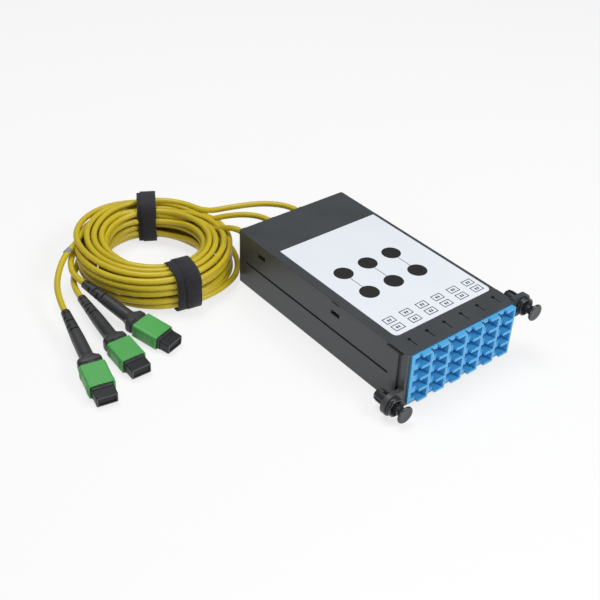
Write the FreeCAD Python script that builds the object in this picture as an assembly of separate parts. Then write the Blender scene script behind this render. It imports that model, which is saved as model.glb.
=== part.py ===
"""Fibre cassette with quad LC adapters, three trunk cords and multi-fibre push-on connectors.

Millimetres, +Z up. The adapters face -Y, the cords leave at +Y, and the base stands on z = 0 with
the middle of the housing at x = y = 0. Every sub-part is one closed solid, or a group of like
solids, written to parts/NODE.step.
"""
import math
import os

import FreeCAD
import Part

Vec = FreeCAD.Vector

# ---- housing -------------------------------------------------------------------------------------
BODY_W = 66.0           # width over the side walls
BODY_D = 120.0          # front face of the frame to the rear wall
BODY_H = 29.6           # base to the top of the cover
WALL = 1.6              # side and rear walls
FLOOR = 1.6             # tray floor
COVER_T = 1.3           # thickness of the cover plate at its edge
CORNER_R = 1.2          # upright rear corners
TOP_EDGE = 0.3          # bevel round the top of the cover
BAND_TOP = 0.6          # cover left over the sunk band
FIT = 0.15              # clearance between pieces that slide together at assembly
FRAME_T = 3.0           # depth of the front frame
FRAME_LIFT = 1.2        # frame's lower edge above the base
FRAME_CORNER = 0.8      # chamfer on the frame's lower corners
BAND_W = 2.1            # sunk band round the tray behind the frame
GROOVE_DEPTH = 0.8      # depth of the band and of the guide grooves
GROOVE_H = 1.2          # guide groove in each side wall
GROOVE_DROP = 15.8      # groove's middle below the top of the cover
GROOVE_START = 10.5     # from the front face
GROOVE_STOP = 5.8       # from the rear face
WINDOW_L = 5.8          # latch windows in the side walls
WINDOW_H = 2.2
WINDOW_DROP = 6.5       # window's middle below the top of the cover
WINDOW_FRONT = 46.1     # front window from the front face
WINDOW_REAR = 18.9      # rear window from the rear face
HOOK_T = 1.2            # tongue of a cover latch
HOOK_GAP = 0.2          # latch barb to the window's edges
BARB_SHARE = 0.6        # barb's reach as a share of the wall
PRY_L = 5.0             # pry slot in the cover's edge above the second window
PRY_H = 0.6
RIB_T = 1.2             # locating rib under the cover
RIB_DROP = 2.0
RIB_END = 3.0           # the rib stops this far from the adapters and the fan-out blocks

# ---- quad LC adapters ----------------------------------------------------------------------------
COLUMNS = 6
COLUMN_GAP = 0.1        # between neighbouring adapters
SIDE_BORDER = 2.15      # frame beside the adapters
TOP_BORDER = 0.9        # cover and frame left over the adapters
SEAT_H = 2.8            # base to the seat under the adapters
ADAPTER_L = 26.0
ADAPTER_GAP = 0.1       # adapter to frame, above and below
ADAPTER_OUT = 2.65      # front of the adapters before the frame
LATCH_SIDE_W = 4.5      # the latch side of a column stands back
LATCH_SIDE_BACK = 1.8
PORTS = 4
PORT_EDGE = 1.175       # wall over the top port and under the lowest
PORT_W = 4.75           # plug cavity
PORT_H = 4.7
PORT_RIGHT_WALL = 1.0
LATCH_SLOT_W = 2.65     # slot for the plug's latch, beside the cavity
LATCH_SLOT_H = 2.9
PORT_DEPTH = 11.65
BOSS_R = 1.6            # holder of the alignment sleeve
BOSS_L = 6.2
MID_WALL = 2.7          # wall between the front and the rear cavities
REAR_CAVITY = 4.8
KEY_GROOVE_W = 2.0      # groove across an adapter that locates it
KEY_GROOVE_D = 0.6
KEY_GROOVE_BACK = 12.15  # front of the adapter to the groove
KEY_FIT = 0.2
KEY_COVER = 0.5         # top of the cover over its key
SLEEVE_R = 0.8
SLEEVE_BORE_R = 0.66
SLEEVE_FIT = 0.05
SLEEVE_END = 0.25       # sleeve's ends inside the boss
KEYHOLE_R = 0.9         # release holes in the cover over the adapters
KEYHOLE_SLOT_W = 0.5
KEYHOLE_SHIFT = 1.0     # hole beside the column's middle line
KEYHOLE_IN = 8.0        # from the front face
KEYHOLE_SIDES = 12

# ---- plugs and fibres inside ---------------------------------------------------------------------
PLUG_SIDE = 4.5
PLUG_L = 13.0
PLUG_SEAT = 0.2         # plug's face to the middle wall
PLUG_BOOT_L = 8.0
PLUG_BOOT_R1 = 1.5
PLUG_BOOT_R2 = 0.9
PLUG_BOOT_SIDES = 4
FERRULE_R = 0.625
FINE_SIDES = 6          # flats on the small round pieces inside, which repeat for every port
BOSS_SIDES = 12         # flats on a sleeve holder
TURNED_SIDES = 16       # flats on a turned piece
FERRULE_L = 4.6
FIBRE_R = 0.45
FIBRE_SIDES = 4
FIBRE_STRAIGHT = 8.0    # straight fibre behind a plug
FIBRE_PITCH = 1.2       # spacing of the fibres at the fan-out block
FIBRE_IN = 0.8          # fibre end inside the block
FAN_L = 11.0
FAN_W = 6.0
FAN_H = 6.0
FAN_IN = 4.0            # block's rear end from the rear face
FAN_EDGE = 0.6          # bevel along the block
SADDLE_T = 1.2          # ribs that carry a fan-out block
SADDLE_SIDE = 1.4
SADDLE_CHEEK = 2.5      # height of the cheeks beside the block
SADDLE_INSET = 1.5

# ---- glands --------------------------------------------------------------------------------------
CORDS = ("a", "b", "c")
GLAND_INSET = 5.0       # last gland from the side face
GLAND_PITCH = 17.8
GLAND_DROP = 4.7        # gland's middle below the top of the cover
GLAND_R = 3.0
GLAND_NECK_R = 2.5
GLAND_OUT = 3.0
GLAND_LIP = 1.0
GLAND_TAPER = 0.5
CORD_R = 1.5
CORD_FIT = 0.1

# ---- ears, grommets and plungers -----------------------------------------------------------------
EAR_T = 2.4
EAR_R = 5.3
EAR_OUT = 5.5           # fastener axis beside the housing
EAR_RISE = 5.6          # left fastener above the base
EAR_DROP = 4.4          # right fastener below the top of the cover
EAR_SIDES = 32
EAR_ROOT = 1.0          # lug's root inside the frame
BARREL_R = 3.2
BARREL_FIT = 0.1
BARREL_BACK = 7.0       # barrel behind the ear
BARREL_TIP_R = 2.75
BARREL_TAPER = 1.8
SPLIT_W = 0.9
SPLIT_L = 5.2
FLANGE_R = 4.4
FLANGE_T = 1.2
NECK_R = 3.9
NECK_T = 0.5
RING_R = 4.3
RING_T = 0.9
STEM_R = 2.2
STEM_FIT = 0.08
PLUNGER_TRAVEL = 4.2
PLUNGER_STOP = 0.2      # gap left under the head when it is pushed home
HEAD_R = 4.15
HEAD_T = 1.0
FLARE_L = 2.0
FLARE_R = 3.5
FLARE_FIT = 0.28
STEM_IN = 2.0           # stem inside the grommet when the plunger is out

# ---- label ---------------------------------------------------------------------------------------
LABEL_LEFT = 4.65       # margins from the housing's faces
LABEL_RIGHT = 2.18
LABEL_FRONT = 12.44
LABEL_REAR = 27.34
LABEL_T = 0.15
LABEL_R = 2.5

# ---- coil and straps -----------------------------------------------------------------------------
COIL_LEFT = 29.0        # winding's middle beside the housing's left face
COIL_BACK = 32.7        # and behind its rear face
COIL_A = 30.6           # half axes of the winding's middle line
COIL_B = 34.0
COIL_HALF_W = 8.5
COIL_LOW = 1.2
COIL_H = 20.4
COIL_EDGE = 3.5         # bevel along the winding's four rims
OVAL_END = 0.8          # radius of the oval's ends, as a share of its half width
STRAP_W = 8.0
STRAP_T = 1.1
STRAP_GAP = 0.1         # under and over the winding
STRAP_SIDE_GAP = 0.8    # beside it, where it curves
STRAP_REAR_DEG = 63.0
STRAP_FRONT_DEG = 261.0
STRAP_TAB_L = 13.0
STRAP_TAB_EDGE = 0.4
STRAP_TAB_SHIFT = 3.5

# ---- multi-fibre connectors: coupling's middle from the winding's middle, yaw, nose-down tilt, and
# sideways lean of the boot ------------------------------------------------------------------------
CONNECTORS = {
    "a": ((-67.6, -63.9, 4.5), -100.5, 6.05, 0.0),
    "b": ((-49.0, -56.1, 4.2), -90.4, 3.5, 2.0),
    "c": ((-31.5, -49.2, 4.6), -71.1, 7.2, 4.5),
}
COUPLING_L = 13.6
COUPLING_W = 12.0
COUPLING_H = 7.4
COUPLING_R = 1.3
COUPLING_FIT = 0.2
COUPLING_TRAVEL = 1.5
BODY_NOSE_W = 10.0      # inner housing
BODY_NOSE_H = 5.8
BODY_NOSE_EDGE = 0.4
BODY_NOSE_OUT = 1.5     # nose before the coupling
COLLAR_GAP = 0.4        # left between coupling and collar at the end of the travel
COLLAR_L = 2.6
COLLAR_W = 10.9
COLLAR_H = 6.9
COLLAR_EDGE = 1.0
COLLAR_FLARE = 1.1      # the collar widens from its rear end
NOSE_WALL_W = 0.62      # wall round the dust cap's seat
NOSE_WALL_H = 0.52
NOSE_DEPTH = 7.5
NOSE_KEY_W = 3.0        # key on the nose's broad side
NOSE_KEY_T = 0.35
NOSE_KEY_BACK = 0.8     # key's end behind the nose's face
KEYWAY_FIT = 0.15
MT_W = 6.4              # ferrule
MT_H = 2.5
MT_L = 8.0
MT_FLANGE_W = 7.2
MT_FLANGE_H = 3.1
MT_FLANGE_L = 2.0
MT_PIN_R = 0.35
MT_PIN_HALF = 2.3
MT_PIN_OUT = 1.5
MT_FIT = 0.15
MT_FRONT = 0.3          # ferrule's face before the nose
SPRING_R = 1.2
SPRING_WIRE_R = 0.25
SPRING_SEAT = 2.0       # end wall of the collar behind the spring
SPRING_SIDES = 8
PIN_SIDES = 8
CAP_W = 8.6
CAP_H = 4.6
CAP_OUT = 5.3           # dust cap before the nose
CAP_IN = 5.0
CAP_EDGE = 0.5
CAP_FIT = 0.35          # dust cap to the ferrule
CAP_FACE_D = 0.5
CAP_FACE_RIM = 0.9
BOOT_L = 34.7
BOOT_IN = 1.2           # boot inside the collar
BOOT_NECK_R = 2.8       # boot's neck in the collar
BOOT_NECK_FIT = 0.25
BOOT_SEAT_GAP = 0.3     # before the boot's neck
BOOT_FRONT_R = 3.35
BOOT_PLAIN_L = 16.0     # smooth stretch before the slots
BOOT_MID_R = 3.1
BOOT_END_R = 2.15
BOOT_SLOTS = 5
BOOT_SLOT_W = 0.9
BOOT_SLOT_PITCH = 3.0
BOOT_CORE_R = 1.75
BOOT_TIP = 2.0          # plain end ring of the boot

# ---- routes of the cords that aren't coiled, chosen by hand ----------------------------------------
# A lead runs out of its gland, then by points (x and y from the winding's middle, z from the gland)
# to its end in the winding (x, y from the winding's middle, z from the base).
LEAD_OUT = {"a": 8.5, "b": 7.0, "c": 6.0}
LEAD_WAY = {
    "a": [(60.0, -11.7, -0.5), (45.0, -3.2, -2.1)],
    "b": [(46.0, -15.7, -0.6), (38.0, -7.2, -3.1)],
    "c": [(31.8, -17.7, -2.5)],
}
LEAD_END = {"a": (34.5, 4.8, 19.5), "b": (32.5, 0.8, 17.0), "c": (30.0, -9.2, 17.0)}
# A tail starts in the winding and ends in its boot (x and y from the winding's middle).
TAILS = {
    "a": [(-31.5, 20.3, 17.5), (-42.0, 14.3, 16.5), (-51.5, 4.3, 13.0)],
    "b": [(-33.5, 19.8, 5.0), (-40.0, 11.3, 5.5)],
    "c": [(-29.0, 22.8, 13.0), (-36.5, 17.8, 13.0), (-41.3, 10.6, 12.6)],
}
TAIL_END_RUN = {"a": 12.0, "b": 9.0, "c": 8.0}

# ---- worked out from the above -------------------------------------------------------------------
HALF_W = BODY_W / 2
FRONT_Y = -BODY_D / 2
REAR_Y = BODY_D / 2
SEAM_Z = BODY_H - COVER_T
TRAY_FRONT = FRONT_Y + FRAME_T
INNER_X = HALF_W - WALL
ADAPTER_FRONT = FRONT_Y - ADAPTER_OUT
ADAPTER_REAR = ADAPTER_FRONT + ADAPTER_L
WINDOW_YS = (REAR_Y - WINDOW_REAR, FRONT_Y + WINDOW_FRONT)
WINDOW_Z = BODY_H - WINDOW_DROP
GROOVE_Z = BODY_H - GROOVE_DROP
KEYHOLE_Y = FRONT_Y + KEYHOLE_IN
COLUMN_PITCH = (BODY_W - 2 * SIDE_BORDER + COLUMN_GAP) / COLUMNS
ADAPTER_W = COLUMN_PITCH - COLUMN_GAP
ADAPTER_H = BODY_H - TOP_BORDER - ADAPTER_GAP - SEAT_H
ADAPTER_Z = SEAT_H + ADAPTER_H / 2
PORT_PITCH = (ADAPTER_H - 2 * PORT_EDGE - PORT_H) / (PORTS - 1)
COLUMN_XS = [COLUMN_PITCH * (i - (COLUMNS - 1) / 2) for i in range(COLUMNS)]
PORT_ZS = [ADAPTER_Z + PORT_PITCH * (i - (PORTS - 1) / 2) for i in range(PORTS)]
PORT_X = ADAPTER_W / 2 - PORT_RIGHT_WALL - PORT_W / 2
PORT_FLOOR = ADAPTER_FRONT + PORT_DEPTH
BOSS_TIP = PORT_FLOOR - BOSS_L
CAVITY_FRONT = PORT_FLOOR + MID_WALL
KEY_Y = ADAPTER_FRONT + KEY_GROOVE_BACK
BANK_X = COLUMN_PITCH * (COLUMNS - 1) / 2 + ADAPTER_W / 2
PLUG_FRONT = CAVITY_FRONT + PLUG_SEAT
PLUG_REAR = PLUG_FRONT + PLUG_L
BOOT_REAR = PLUG_REAR + PLUG_BOOT_L
FAN_REAR = REAR_Y - FAN_IN
FAN_FRONT = FAN_REAR - FAN_L
GLAND_XS = [GLAND_INSET - HALF_W + i * GLAND_PITCH for i in (2, 1, 0)]
GLAND_Z = BODY_H - GLAND_DROP
EARS = {"left": (-HALF_W - EAR_OUT, EAR_RISE), "right": (HALF_W + EAR_OUT, BODY_H - EAR_DROP)}
GROMMET_FRONT = FRONT_Y - FLANGE_T - NECK_T - RING_T
HEAD_REAR = GROMMET_FRONT - PLUNGER_STOP - PLUNGER_TRAVEL
COIL_C = (-HALF_W - COIL_LEFT, REAR_Y + COIL_BACK)
COUPLING_REAR = -COUPLING_L / 2
NOSE_X = COUPLING_L / 2 + BODY_NOSE_OUT
COLLAR_FRONT = COUPLING_REAR - COUPLING_TRAVEL - COLLAR_GAP
COLLAR_REAR = COLLAR_FRONT - COLLAR_L


def box(x0, x1, y0, y1, z0, z1):
    """Box between two limits on each axis."""
    return Part.makeBox(x1 - x0, y1 - y0, z1 - z0, Vec(x0, y0, z0))


def many_sided(radius, sides, centre, heading):
    """Closed outline with flats that touch a circle from outside and stand square to heading."""
    reach = radius / math.cos(math.pi / sides)
    turn = FreeCAD.Rotation(Vec(0, 0, 1), heading)
    points = []
    for i in range(sides):
        angle = 2 * math.pi * (i + 0.5) / sides
        points.append(centre + turn.multVec(Vec(reach * math.cos(angle), reach * math.sin(angle), 0)))
    return Part.makePolygon(points + [points[0]])


def fine_rod(radius, sides, y0, y1, x, z):
    """Rod along Y with a few flats in place of a round wall."""
    return Part.Face(many_sided(radius, sides, Vec(x, y0, z), Vec(0, 1, 0))).extrude(Vec(0, y1 - y0, 0))


def edges_along(solid, axis):
    """Straight edges of a box that run along one axis (0, 1 or 2)."""
    edges = []
    for edge in solid.Edges:
        run = edge.Vertexes[1].Point - edge.Vertexes[0].Point
        if abs(run[axis]) > 0.999 * run.Length:
            edges.append(edge)
    return edges


def rounded(lo, hi, radius, axis):
    """Box from lo to hi whose four edges along one axis are rounded."""
    solid = box(lo[0], hi[0], lo[1], hi[1], lo[2], hi[2])
    return solid.makeFillet(radius, edges_along(solid, axis))


def bevelled(lo, hi, size, axis):
    """Box from lo to hi whose four edges along one axis are bevelled."""
    solid = box(lo[0], hi[0], lo[1], hi[1], lo[2], hi[2])
    return solid.makeChamfer(size, edges_along(solid, axis))


def turned(profile, origin, along, across, sides=TURNED_SIDES):
    """Closed solid about an axis, with flats that touch each circle of its profile from outside.

    The profile is a closed list of (distance along the axis, radius).
    """
    up = along.cross(across)
    rings = []
    for station, radius in profile:
        reach = radius / math.cos(math.pi / sides)
        ring = []
        for i in range(sides):
            angle = 2 * math.pi * (i + 0.5) / sides
            spoke = across * (reach * math.cos(angle)) + up * (reach * math.sin(angle))
            ring.append(origin + along * station + spoke)
        rings.append(ring)
    faces = []
    for ring, following in zip(rings, rings[1:] + rings[:1]):
        for i in range(sides):
            corners = [ring[i - 1], ring[i], following[i], following[i - 1]]
            outline = [p for k, p in enumerate(corners) if (p - corners[k - 1]).Length > 1e-6]
            if len(outline) > 2:
                faces.append(Part.Face(Part.makePolygon(outline + [outline[0]])))
    shell = Part.makeShell(faces)
    shell.sewShape()
    solid = Part.makeSolid(shell)
    if solid.Volume < 0:
        solid.reverse()
    return solid.removeSplitter()


def turned_y(profile, x, z, sides=TURNED_SIDES):
    """Turned solid about the line along Y through (x, z)."""
    return turned(profile, Vec(x, 0, z), Vec(0, 1, 0), Vec(1, 0, 0), sides)


def turned_x(profile, sides=TURNED_SIDES):
    """Turned solid about the X axis."""
    return turned(profile, Vec(0, 0, 0), Vec(1, 0, 0), Vec(0, 1, 0), sides)


def rod_x(radius, x0, x1, sides=TURNED_SIDES):
    """Rod on the X axis with flats."""
    return turned_x([(x0, 0), (x0, radius), (x1, radius), (x1, 0)], sides)


def route(points):
    """Wire of straight runs joined by tangent arcs, each as large as its two runs allow."""
    pts = [Vec(*p) for p in points]
    edges = []
    radii = []
    start = pts[0]
    for before, corner, after in zip(pts, pts[1:], pts[2:]):
        come = (corner - before).normalize()
        leave = (after - corner).normalize()
        half = come.getAngle(leave) / 2
        cut = 0.45 * min((corner - before).Length, (after - corner).Length)
        radius = cut / math.tan(half)
        first = corner - come * cut
        last = corner + leave * cut
        inward = (leave - come).normalize()
        middle = corner + inward * (radius / math.cos(half) - radius)
        edges.append(Part.LineSegment(start, first).toShape())
        edges.append(Part.Arc(first, middle, last).toShape())
        radii.append(radius)
        start = last
    edges.append(Part.LineSegment(start, pts[-1]).toShape())
    return Part.Wire(edges), radii


def tube(points, radius):
    """Round cord along a route, with the bend radii of its corners and its length."""
    path, radii = route(points)
    heading = Vec(*points[1]) - Vec(*points[0])
    ring = Part.Wire(Part.makeCircle(radius, Vec(*points[0]), heading))
    return path.makePipeShell([ring], True, False), radii, path.Length


def fine_tube(points, radius):
    """Fibre along straight runs with mitred corners, with a few flats in place of a round wall."""
    pts = [Vec(*p) for p in points]
    heading = pts[1] - pts[0]
    ring = many_sided(radius, FIBRE_SIDES, pts[0], heading)
    return Part.Wire(Part.makePolygon(pts)).makePipeShell([ring], True, False, 1)


def solid_of(shape):
    """The single solid of a shape."""
    return shape.Solids[0] if len(shape.Solids) == 1 else shape


def save(name, shape):
    """Check one sub-part and write its STEP file."""
    shape = shape.removeSplitter()
    if not shape.isValid() or not shape.Solids:
        raise ValueError(name + " isn't a valid solid")
    solid_of(shape).exportStep("parts/" + name + ".step")


# ---- housing -------------------------------------------------------------------------------------
def gland_hole(x):
    return fine_rod(GLAND_NECK_R + CORD_FIT, TURNED_SIDES, REAR_Y - WALL - 1, REAR_Y + 1, x, GLAND_Z)


def saddle(x):
    """Two ribs with cheeks that carry one fan-out block."""
    low = GLAND_Z - FAN_H / 2
    half = FAN_W / 2 + FIT
    ribs = []
    for y in (FAN_FRONT + SADDLE_INSET, FAN_REAR - SADDLE_INSET - SADDLE_T):
        rib = box(x - half - SADDLE_SIDE, x + half + SADDLE_SIDE, y, y + SADDLE_T,
                  FLOOR, low + SADDLE_CHEEK)
        rib = rib.cut(box(x - half, x + half, y - 1, y + SADDLE_T + 1, low, BODY_H))
        ribs.append(rib.common(box(-INNER_X, INNER_X, y - 1, y + SADDLE_T + 1, 0, BODY_H)))
    return ribs


def base_tray():
    outer = box(-HALF_W, HALF_W, TRAY_FRONT, REAR_Y, 0, SEAM_Z)
    corners = [e for e in outer.Edges if e.Length == SEAM_Z and e.CenterOfMass.y > 0]
    outer = outer.makeFillet(CORNER_R, corners)
    inner = box(-INNER_X, INNER_X, TRAY_FRONT - 1, REAR_Y - WALL, FLOOR, BODY_H)
    tray = outer.cut(inner)
    seat = box(-BANK_X, BANK_X, TRAY_FRONT, ADAPTER_REAR, 0, ADAPTER_Z - ADAPTER_H / 2)
    key = box(-BANK_X, BANK_X, KEY_Y + KEY_FIT, KEY_Y + KEY_GROOVE_W - KEY_FIT, 0,
              ADAPTER_Z - ADAPTER_H / 2 + KEY_GROOVE_D - KEY_FIT)
    added = [seat, key]
    for x in GLAND_XS:
        added += saddle(x)
    tray = tray.fuse(added)
    cuts = [gland_hole(x) for x in GLAND_XS]
    for side in (-1, 1):
        face = side * HALF_W
        depth = side * (HALF_W - GROOVE_DEPTH)
        x0, x1 = min(face + side, depth), max(face + side, depth)
        cuts.append(box(x0, x1, TRAY_FRONT - 1, TRAY_FRONT + BAND_W, -1, BODY_H))
        cuts.append(box(x0, x1, FRONT_Y + GROOVE_START, REAR_Y - GROOVE_STOP,
                        GROOVE_Z - GROOVE_H / 2, GROOVE_Z + GROOVE_H / 2))
        x0, x1 = sorted((face + side, side * (INNER_X - 1)))
        for y in WINDOW_YS:
            cuts.append(box(x0, x1, y - WINDOW_L / 2, y + WINDOW_L / 2,
                            WINDOW_Z - WINDOW_H / 2, WINDOW_Z + WINDOW_H / 2))
    return tray.cut(cuts)


def latch(side, y):
    """Tongue under the cover whose barb sits in a window of the tray."""
    outer = INNER_X - FIT
    half = WINDOW_L / 2 - HOOK_GAP
    low = WINDOW_Z - WINDOW_H / 2 + HOOK_GAP
    high = WINDOW_Z + WINDOW_H / 2 - HOOK_GAP
    barb = outer + WALL * BARB_SHARE
    points = [(outer - HOOK_T, SEAM_Z), (outer, SEAM_Z), (outer, high), (barb, high), (outer, low),
              (outer - HOOK_T, low)]
    outline = [Vec(side * x, y - half, z) for x, z in points]
    return Part.Face(Part.makePolygon(outline + [outline[0]])).extrude(Vec(0, 2 * half, 0))


def top_cover():
    plate = box(-HALF_W, HALF_W, TRAY_FRONT, REAR_Y, SEAM_Z, BODY_H)
    corners = [e for e in plate.Edges if abs(e.Length - COVER_T) < 1e-6 and e.CenterOfMass.y > 0]
    plate = plate.makeFillet(CORNER_R, corners)
    rim = [e for e in plate.Edges
           if abs(e.CenterOfMass.z - BODY_H) < 1e-6 and e.CenterOfMass.y > TRAY_FRONT + 1]
    plate = plate.makeChamfer(TOP_EDGE, rim)
    pocket_top = ADAPTER_Z + ADAPTER_H / 2 + ADAPTER_GAP
    room = box(-BANK_X - FIT, BANK_X + FIT, TRAY_FRONT - 1, ADAPTER_REAR + FIT, SEAM_Z - 1, pocket_top)
    plate = plate.cut(room)
    rib_out = INNER_X - FIT
    pieces = []
    for side in (-1, 1):
        x0, x1 = sorted((side * rib_out, side * (rib_out - RIB_T)))
        pieces.append(box(x0, x1, ADAPTER_REAR + RIB_END, FAN_FRONT - RIB_END, SEAM_Z - RIB_DROP, SEAM_Z))
        pieces.append(latch(side, WINDOW_YS[0]))
        pieces.append(latch(side, WINDOW_YS[1]))
    key_low = ADAPTER_Z + ADAPTER_H / 2 - KEY_GROOVE_D + KEY_FIT
    pieces.append(box(-BANK_X, BANK_X, KEY_Y + KEY_FIT, KEY_Y + KEY_GROOVE_W - KEY_FIT,
                      key_low, BODY_H - KEY_COVER))
    plate = plate.fuse(pieces)
    cuts = []
    for x in COLUMN_XS:
        hole = x + KEYHOLE_SHIFT
        outline = many_sided(KEYHOLE_R, KEYHOLE_SIDES, Vec(hole, KEYHOLE_Y, SEAM_Z - 1), Vec(0, 0, 1))
        cuts.append(Part.Face(outline).extrude(Vec(0, 0, COVER_T + 2)))
        cuts.append(box(hole - KEYHOLE_SLOT_W / 2, hole + KEYHOLE_SLOT_W / 2, TRAY_FRONT - 1, KEYHOLE_Y,
                        SEAM_Z - 1, BODY_H + 1))
    for side in (-1, 1):
        x0, x1 = sorted((side * (HALF_W + 1), side * (HALF_W - GROOVE_DEPTH)))
        cuts.append(box(x0, x1, WINDOW_YS[1] - PRY_L / 2, WINDOW_YS[1] + PRY_L / 2,
                        SEAM_Z - 1, SEAM_Z + PRY_H))
        cuts.append(box(x0, x1, TRAY_FRONT - 1, TRAY_FRONT + BAND_W, SEAM_Z - 1, BODY_H - BAND_TOP))
    return plate.cut(cuts)


def ear(x, z, side):
    """Lug with a round end that carries one fastener, and its web to the frame."""
    rear = FRONT_Y + EAR_T
    x0, x1 = sorted((x, side * (HALF_W - EAR_ROOT)))
    lug = box(x0, x1, FRONT_Y, rear, z - EAR_R, z + EAR_R)
    return lug.fuse(fine_rod(EAR_R, EAR_SIDES, FRONT_Y, rear, x, z))


def front_frame():
    outer = box(-HALF_W, HALF_W, FRONT_Y, TRAY_FRONT, FRAME_LIFT, BODY_H)
    low = [e for e in outer.Edges
           if abs(e.Length - FRAME_T) < 1e-6 and abs(e.CenterOfMass.z - FRAME_LIFT) < 1e-6]
    frame = outer.makeChamfer(FRAME_CORNER, low)
    bottom = ADAPTER_Z - ADAPTER_H / 2 - ADAPTER_GAP
    top = ADAPTER_Z + ADAPTER_H / 2 + ADAPTER_GAP
    frame = frame.cut(box(-BANK_X - FIT, BANK_X + FIT, FRONT_Y - 1, TRAY_FRONT + 1, bottom, top))
    lugs = []
    for side, (x, z) in zip((-1, 1), EARS.values()):
        lugs.append(ear(x, z, side))
    frame = frame.fuse(lugs)
    holes = []
    for x, z in EARS.values():
        holes.append(fine_rod(BARREL_R + BARREL_FIT, TURNED_SIDES, FRONT_Y - 1, TRAY_FRONT + 1, x, z))
    return frame.cut(holes)


def label():
    lo = (LABEL_LEFT - HALF_W, FRONT_Y + LABEL_FRONT, BODY_H)
    hi = (HALF_W - LABEL_RIGHT, REAR_Y - LABEL_REAR, BODY_H + LABEL_T)
    return rounded(lo, hi, LABEL_R, 2)


def gland(x):
    """Rubber bush in the rear wall round one cord."""
    inner = REAR_Y - WALL - GLAND_LIP
    profile = [
        (inner, CORD_R + CORD_FIT), (inner, GLAND_R), (REAR_Y - WALL, GLAND_R),
        (REAR_Y - WALL, GLAND_NECK_R), (REAR_Y, GLAND_NECK_R), (REAR_Y, GLAND_R),
        (REAR_Y + GLAND_OUT, GLAND_R - GLAND_TAPER), (REAR_Y + GLAND_OUT, CORD_R + CORD_FIT),
    ]
    return turned_y(profile, x, GLAND_Z)


# ---- adapters and what sits in them ----------------------------------------------------------------
def lc_adapter(column_x):
    """Four keyed ports in one moulding, latch side set back, sleeve holders standing in the ports."""
    left = column_x - ADAPTER_W / 2
    right = column_x + ADAPTER_W / 2
    low = ADAPTER_Z - ADAPTER_H / 2
    high = ADAPTER_Z + ADAPTER_H / 2
    shell = box(left, right, ADAPTER_FRONT, ADAPTER_REAR, low, high)
    cuts = [box(left - 1, left + LATCH_SIDE_W, ADAPTER_FRONT - 1, ADAPTER_FRONT + LATCH_SIDE_BACK,
                0, BODY_H)]
    for z0, z1 in ((low - 1, low + KEY_GROOVE_D), (high - KEY_GROOVE_D, high + 1)):
        cuts.append(box(left - 1, right + 1, KEY_Y, KEY_Y + KEY_GROOVE_W, z0, z1))
    bosses = []
    bores = []
    x = column_x + PORT_X
    for z in PORT_ZS:
        cuts.append(box(x - PORT_W / 2, x + PORT_W / 2, ADAPTER_FRONT - 1, PORT_FLOOR,
                        z - PORT_H / 2, z + PORT_H / 2))
        cuts.append(box(x - PORT_W / 2 - LATCH_SLOT_W, x, ADAPTER_FRONT - 1, PORT_FLOOR,
                        z - LATCH_SLOT_H / 2, z + LATCH_SLOT_H / 2))
        cuts.append(box(x - REAR_CAVITY / 2, x + REAR_CAVITY / 2, CAVITY_FRONT, ADAPTER_REAR + 1,
                        z - REAR_CAVITY / 2, z + REAR_CAVITY / 2))
        bosses.append(fine_rod(BOSS_R, BOSS_SIDES, BOSS_TIP, PORT_FLOOR + 1, x, z))
        bores.append(fine_rod(SLEEVE_R + SLEEVE_FIT, FINE_SIDES, BOSS_TIP - 1, CAVITY_FRONT + 1, x, z))
    return shell.cut(cuts).fuse(bosses).cut(bores)


def axes_of(columns):
    """Port axes (x, z) of some columns."""
    return [(COLUMN_XS[c] + PORT_X, z) for c in columns for z in PORT_ZS]


def alignment_sleeve(x, z):
    start = BOSS_TIP + SLEEVE_END
    end = CAVITY_FRONT - SLEEVE_END
    wall = fine_rod(SLEEVE_R, FINE_SIDES, start, end, x, z)
    return wall.cut(fine_rod(SLEEVE_BORE_R, FINE_SIDES, start - 1, end + 1, x, z))


def plug_ferrule(x, z):
    return fine_rod(FERRULE_R, FINE_SIDES, PLUG_FRONT - FERRULE_L, PLUG_FRONT, x, z)


def lc_plug(x, z):
    """Short plug behind the panel: square housing and tapered boot."""
    half = PLUG_SIDE / 2
    housing = box(x - half, x + half, PLUG_FRONT, PLUG_REAR, z - half, z + half)
    profile = [(PLUG_REAR, 0), (PLUG_REAR, PLUG_BOOT_R1), (BOOT_REAR, PLUG_BOOT_R2), (BOOT_REAR, 0)]
    return housing.fuse(turned_y(profile, x, z, PLUG_BOOT_SIDES))


def fan_out_block(x):
    lo = (x - FAN_W / 2, FAN_FRONT, GLAND_Z - FAN_H / 2)
    hi = (x + FAN_W / 2, FAN_REAR, GLAND_Z + FAN_H / 2)
    return bevelled(lo, hi, FAN_EDGE, 1)


def fibres(gland_x, columns):
    """One fibre from the fan-out block to each of eight plugs."""
    found = []
    for c, column in enumerate(columns):
        for r, z in enumerate(PORT_ZS):
            x = COLUMN_XS[column] + PORT_X
            start = (gland_x + FIBRE_PITCH * (c - 0.5), FAN_FRONT + FIBRE_IN,
                     GLAND_Z + FIBRE_PITCH * (r - 1.5))
            found.append(fine_tube([start, (x, BOOT_REAR + FIBRE_STRAIGHT, z), (x, BOOT_REAR, z)], FIBRE_R))
    return Part.makeCompound(found)


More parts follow.
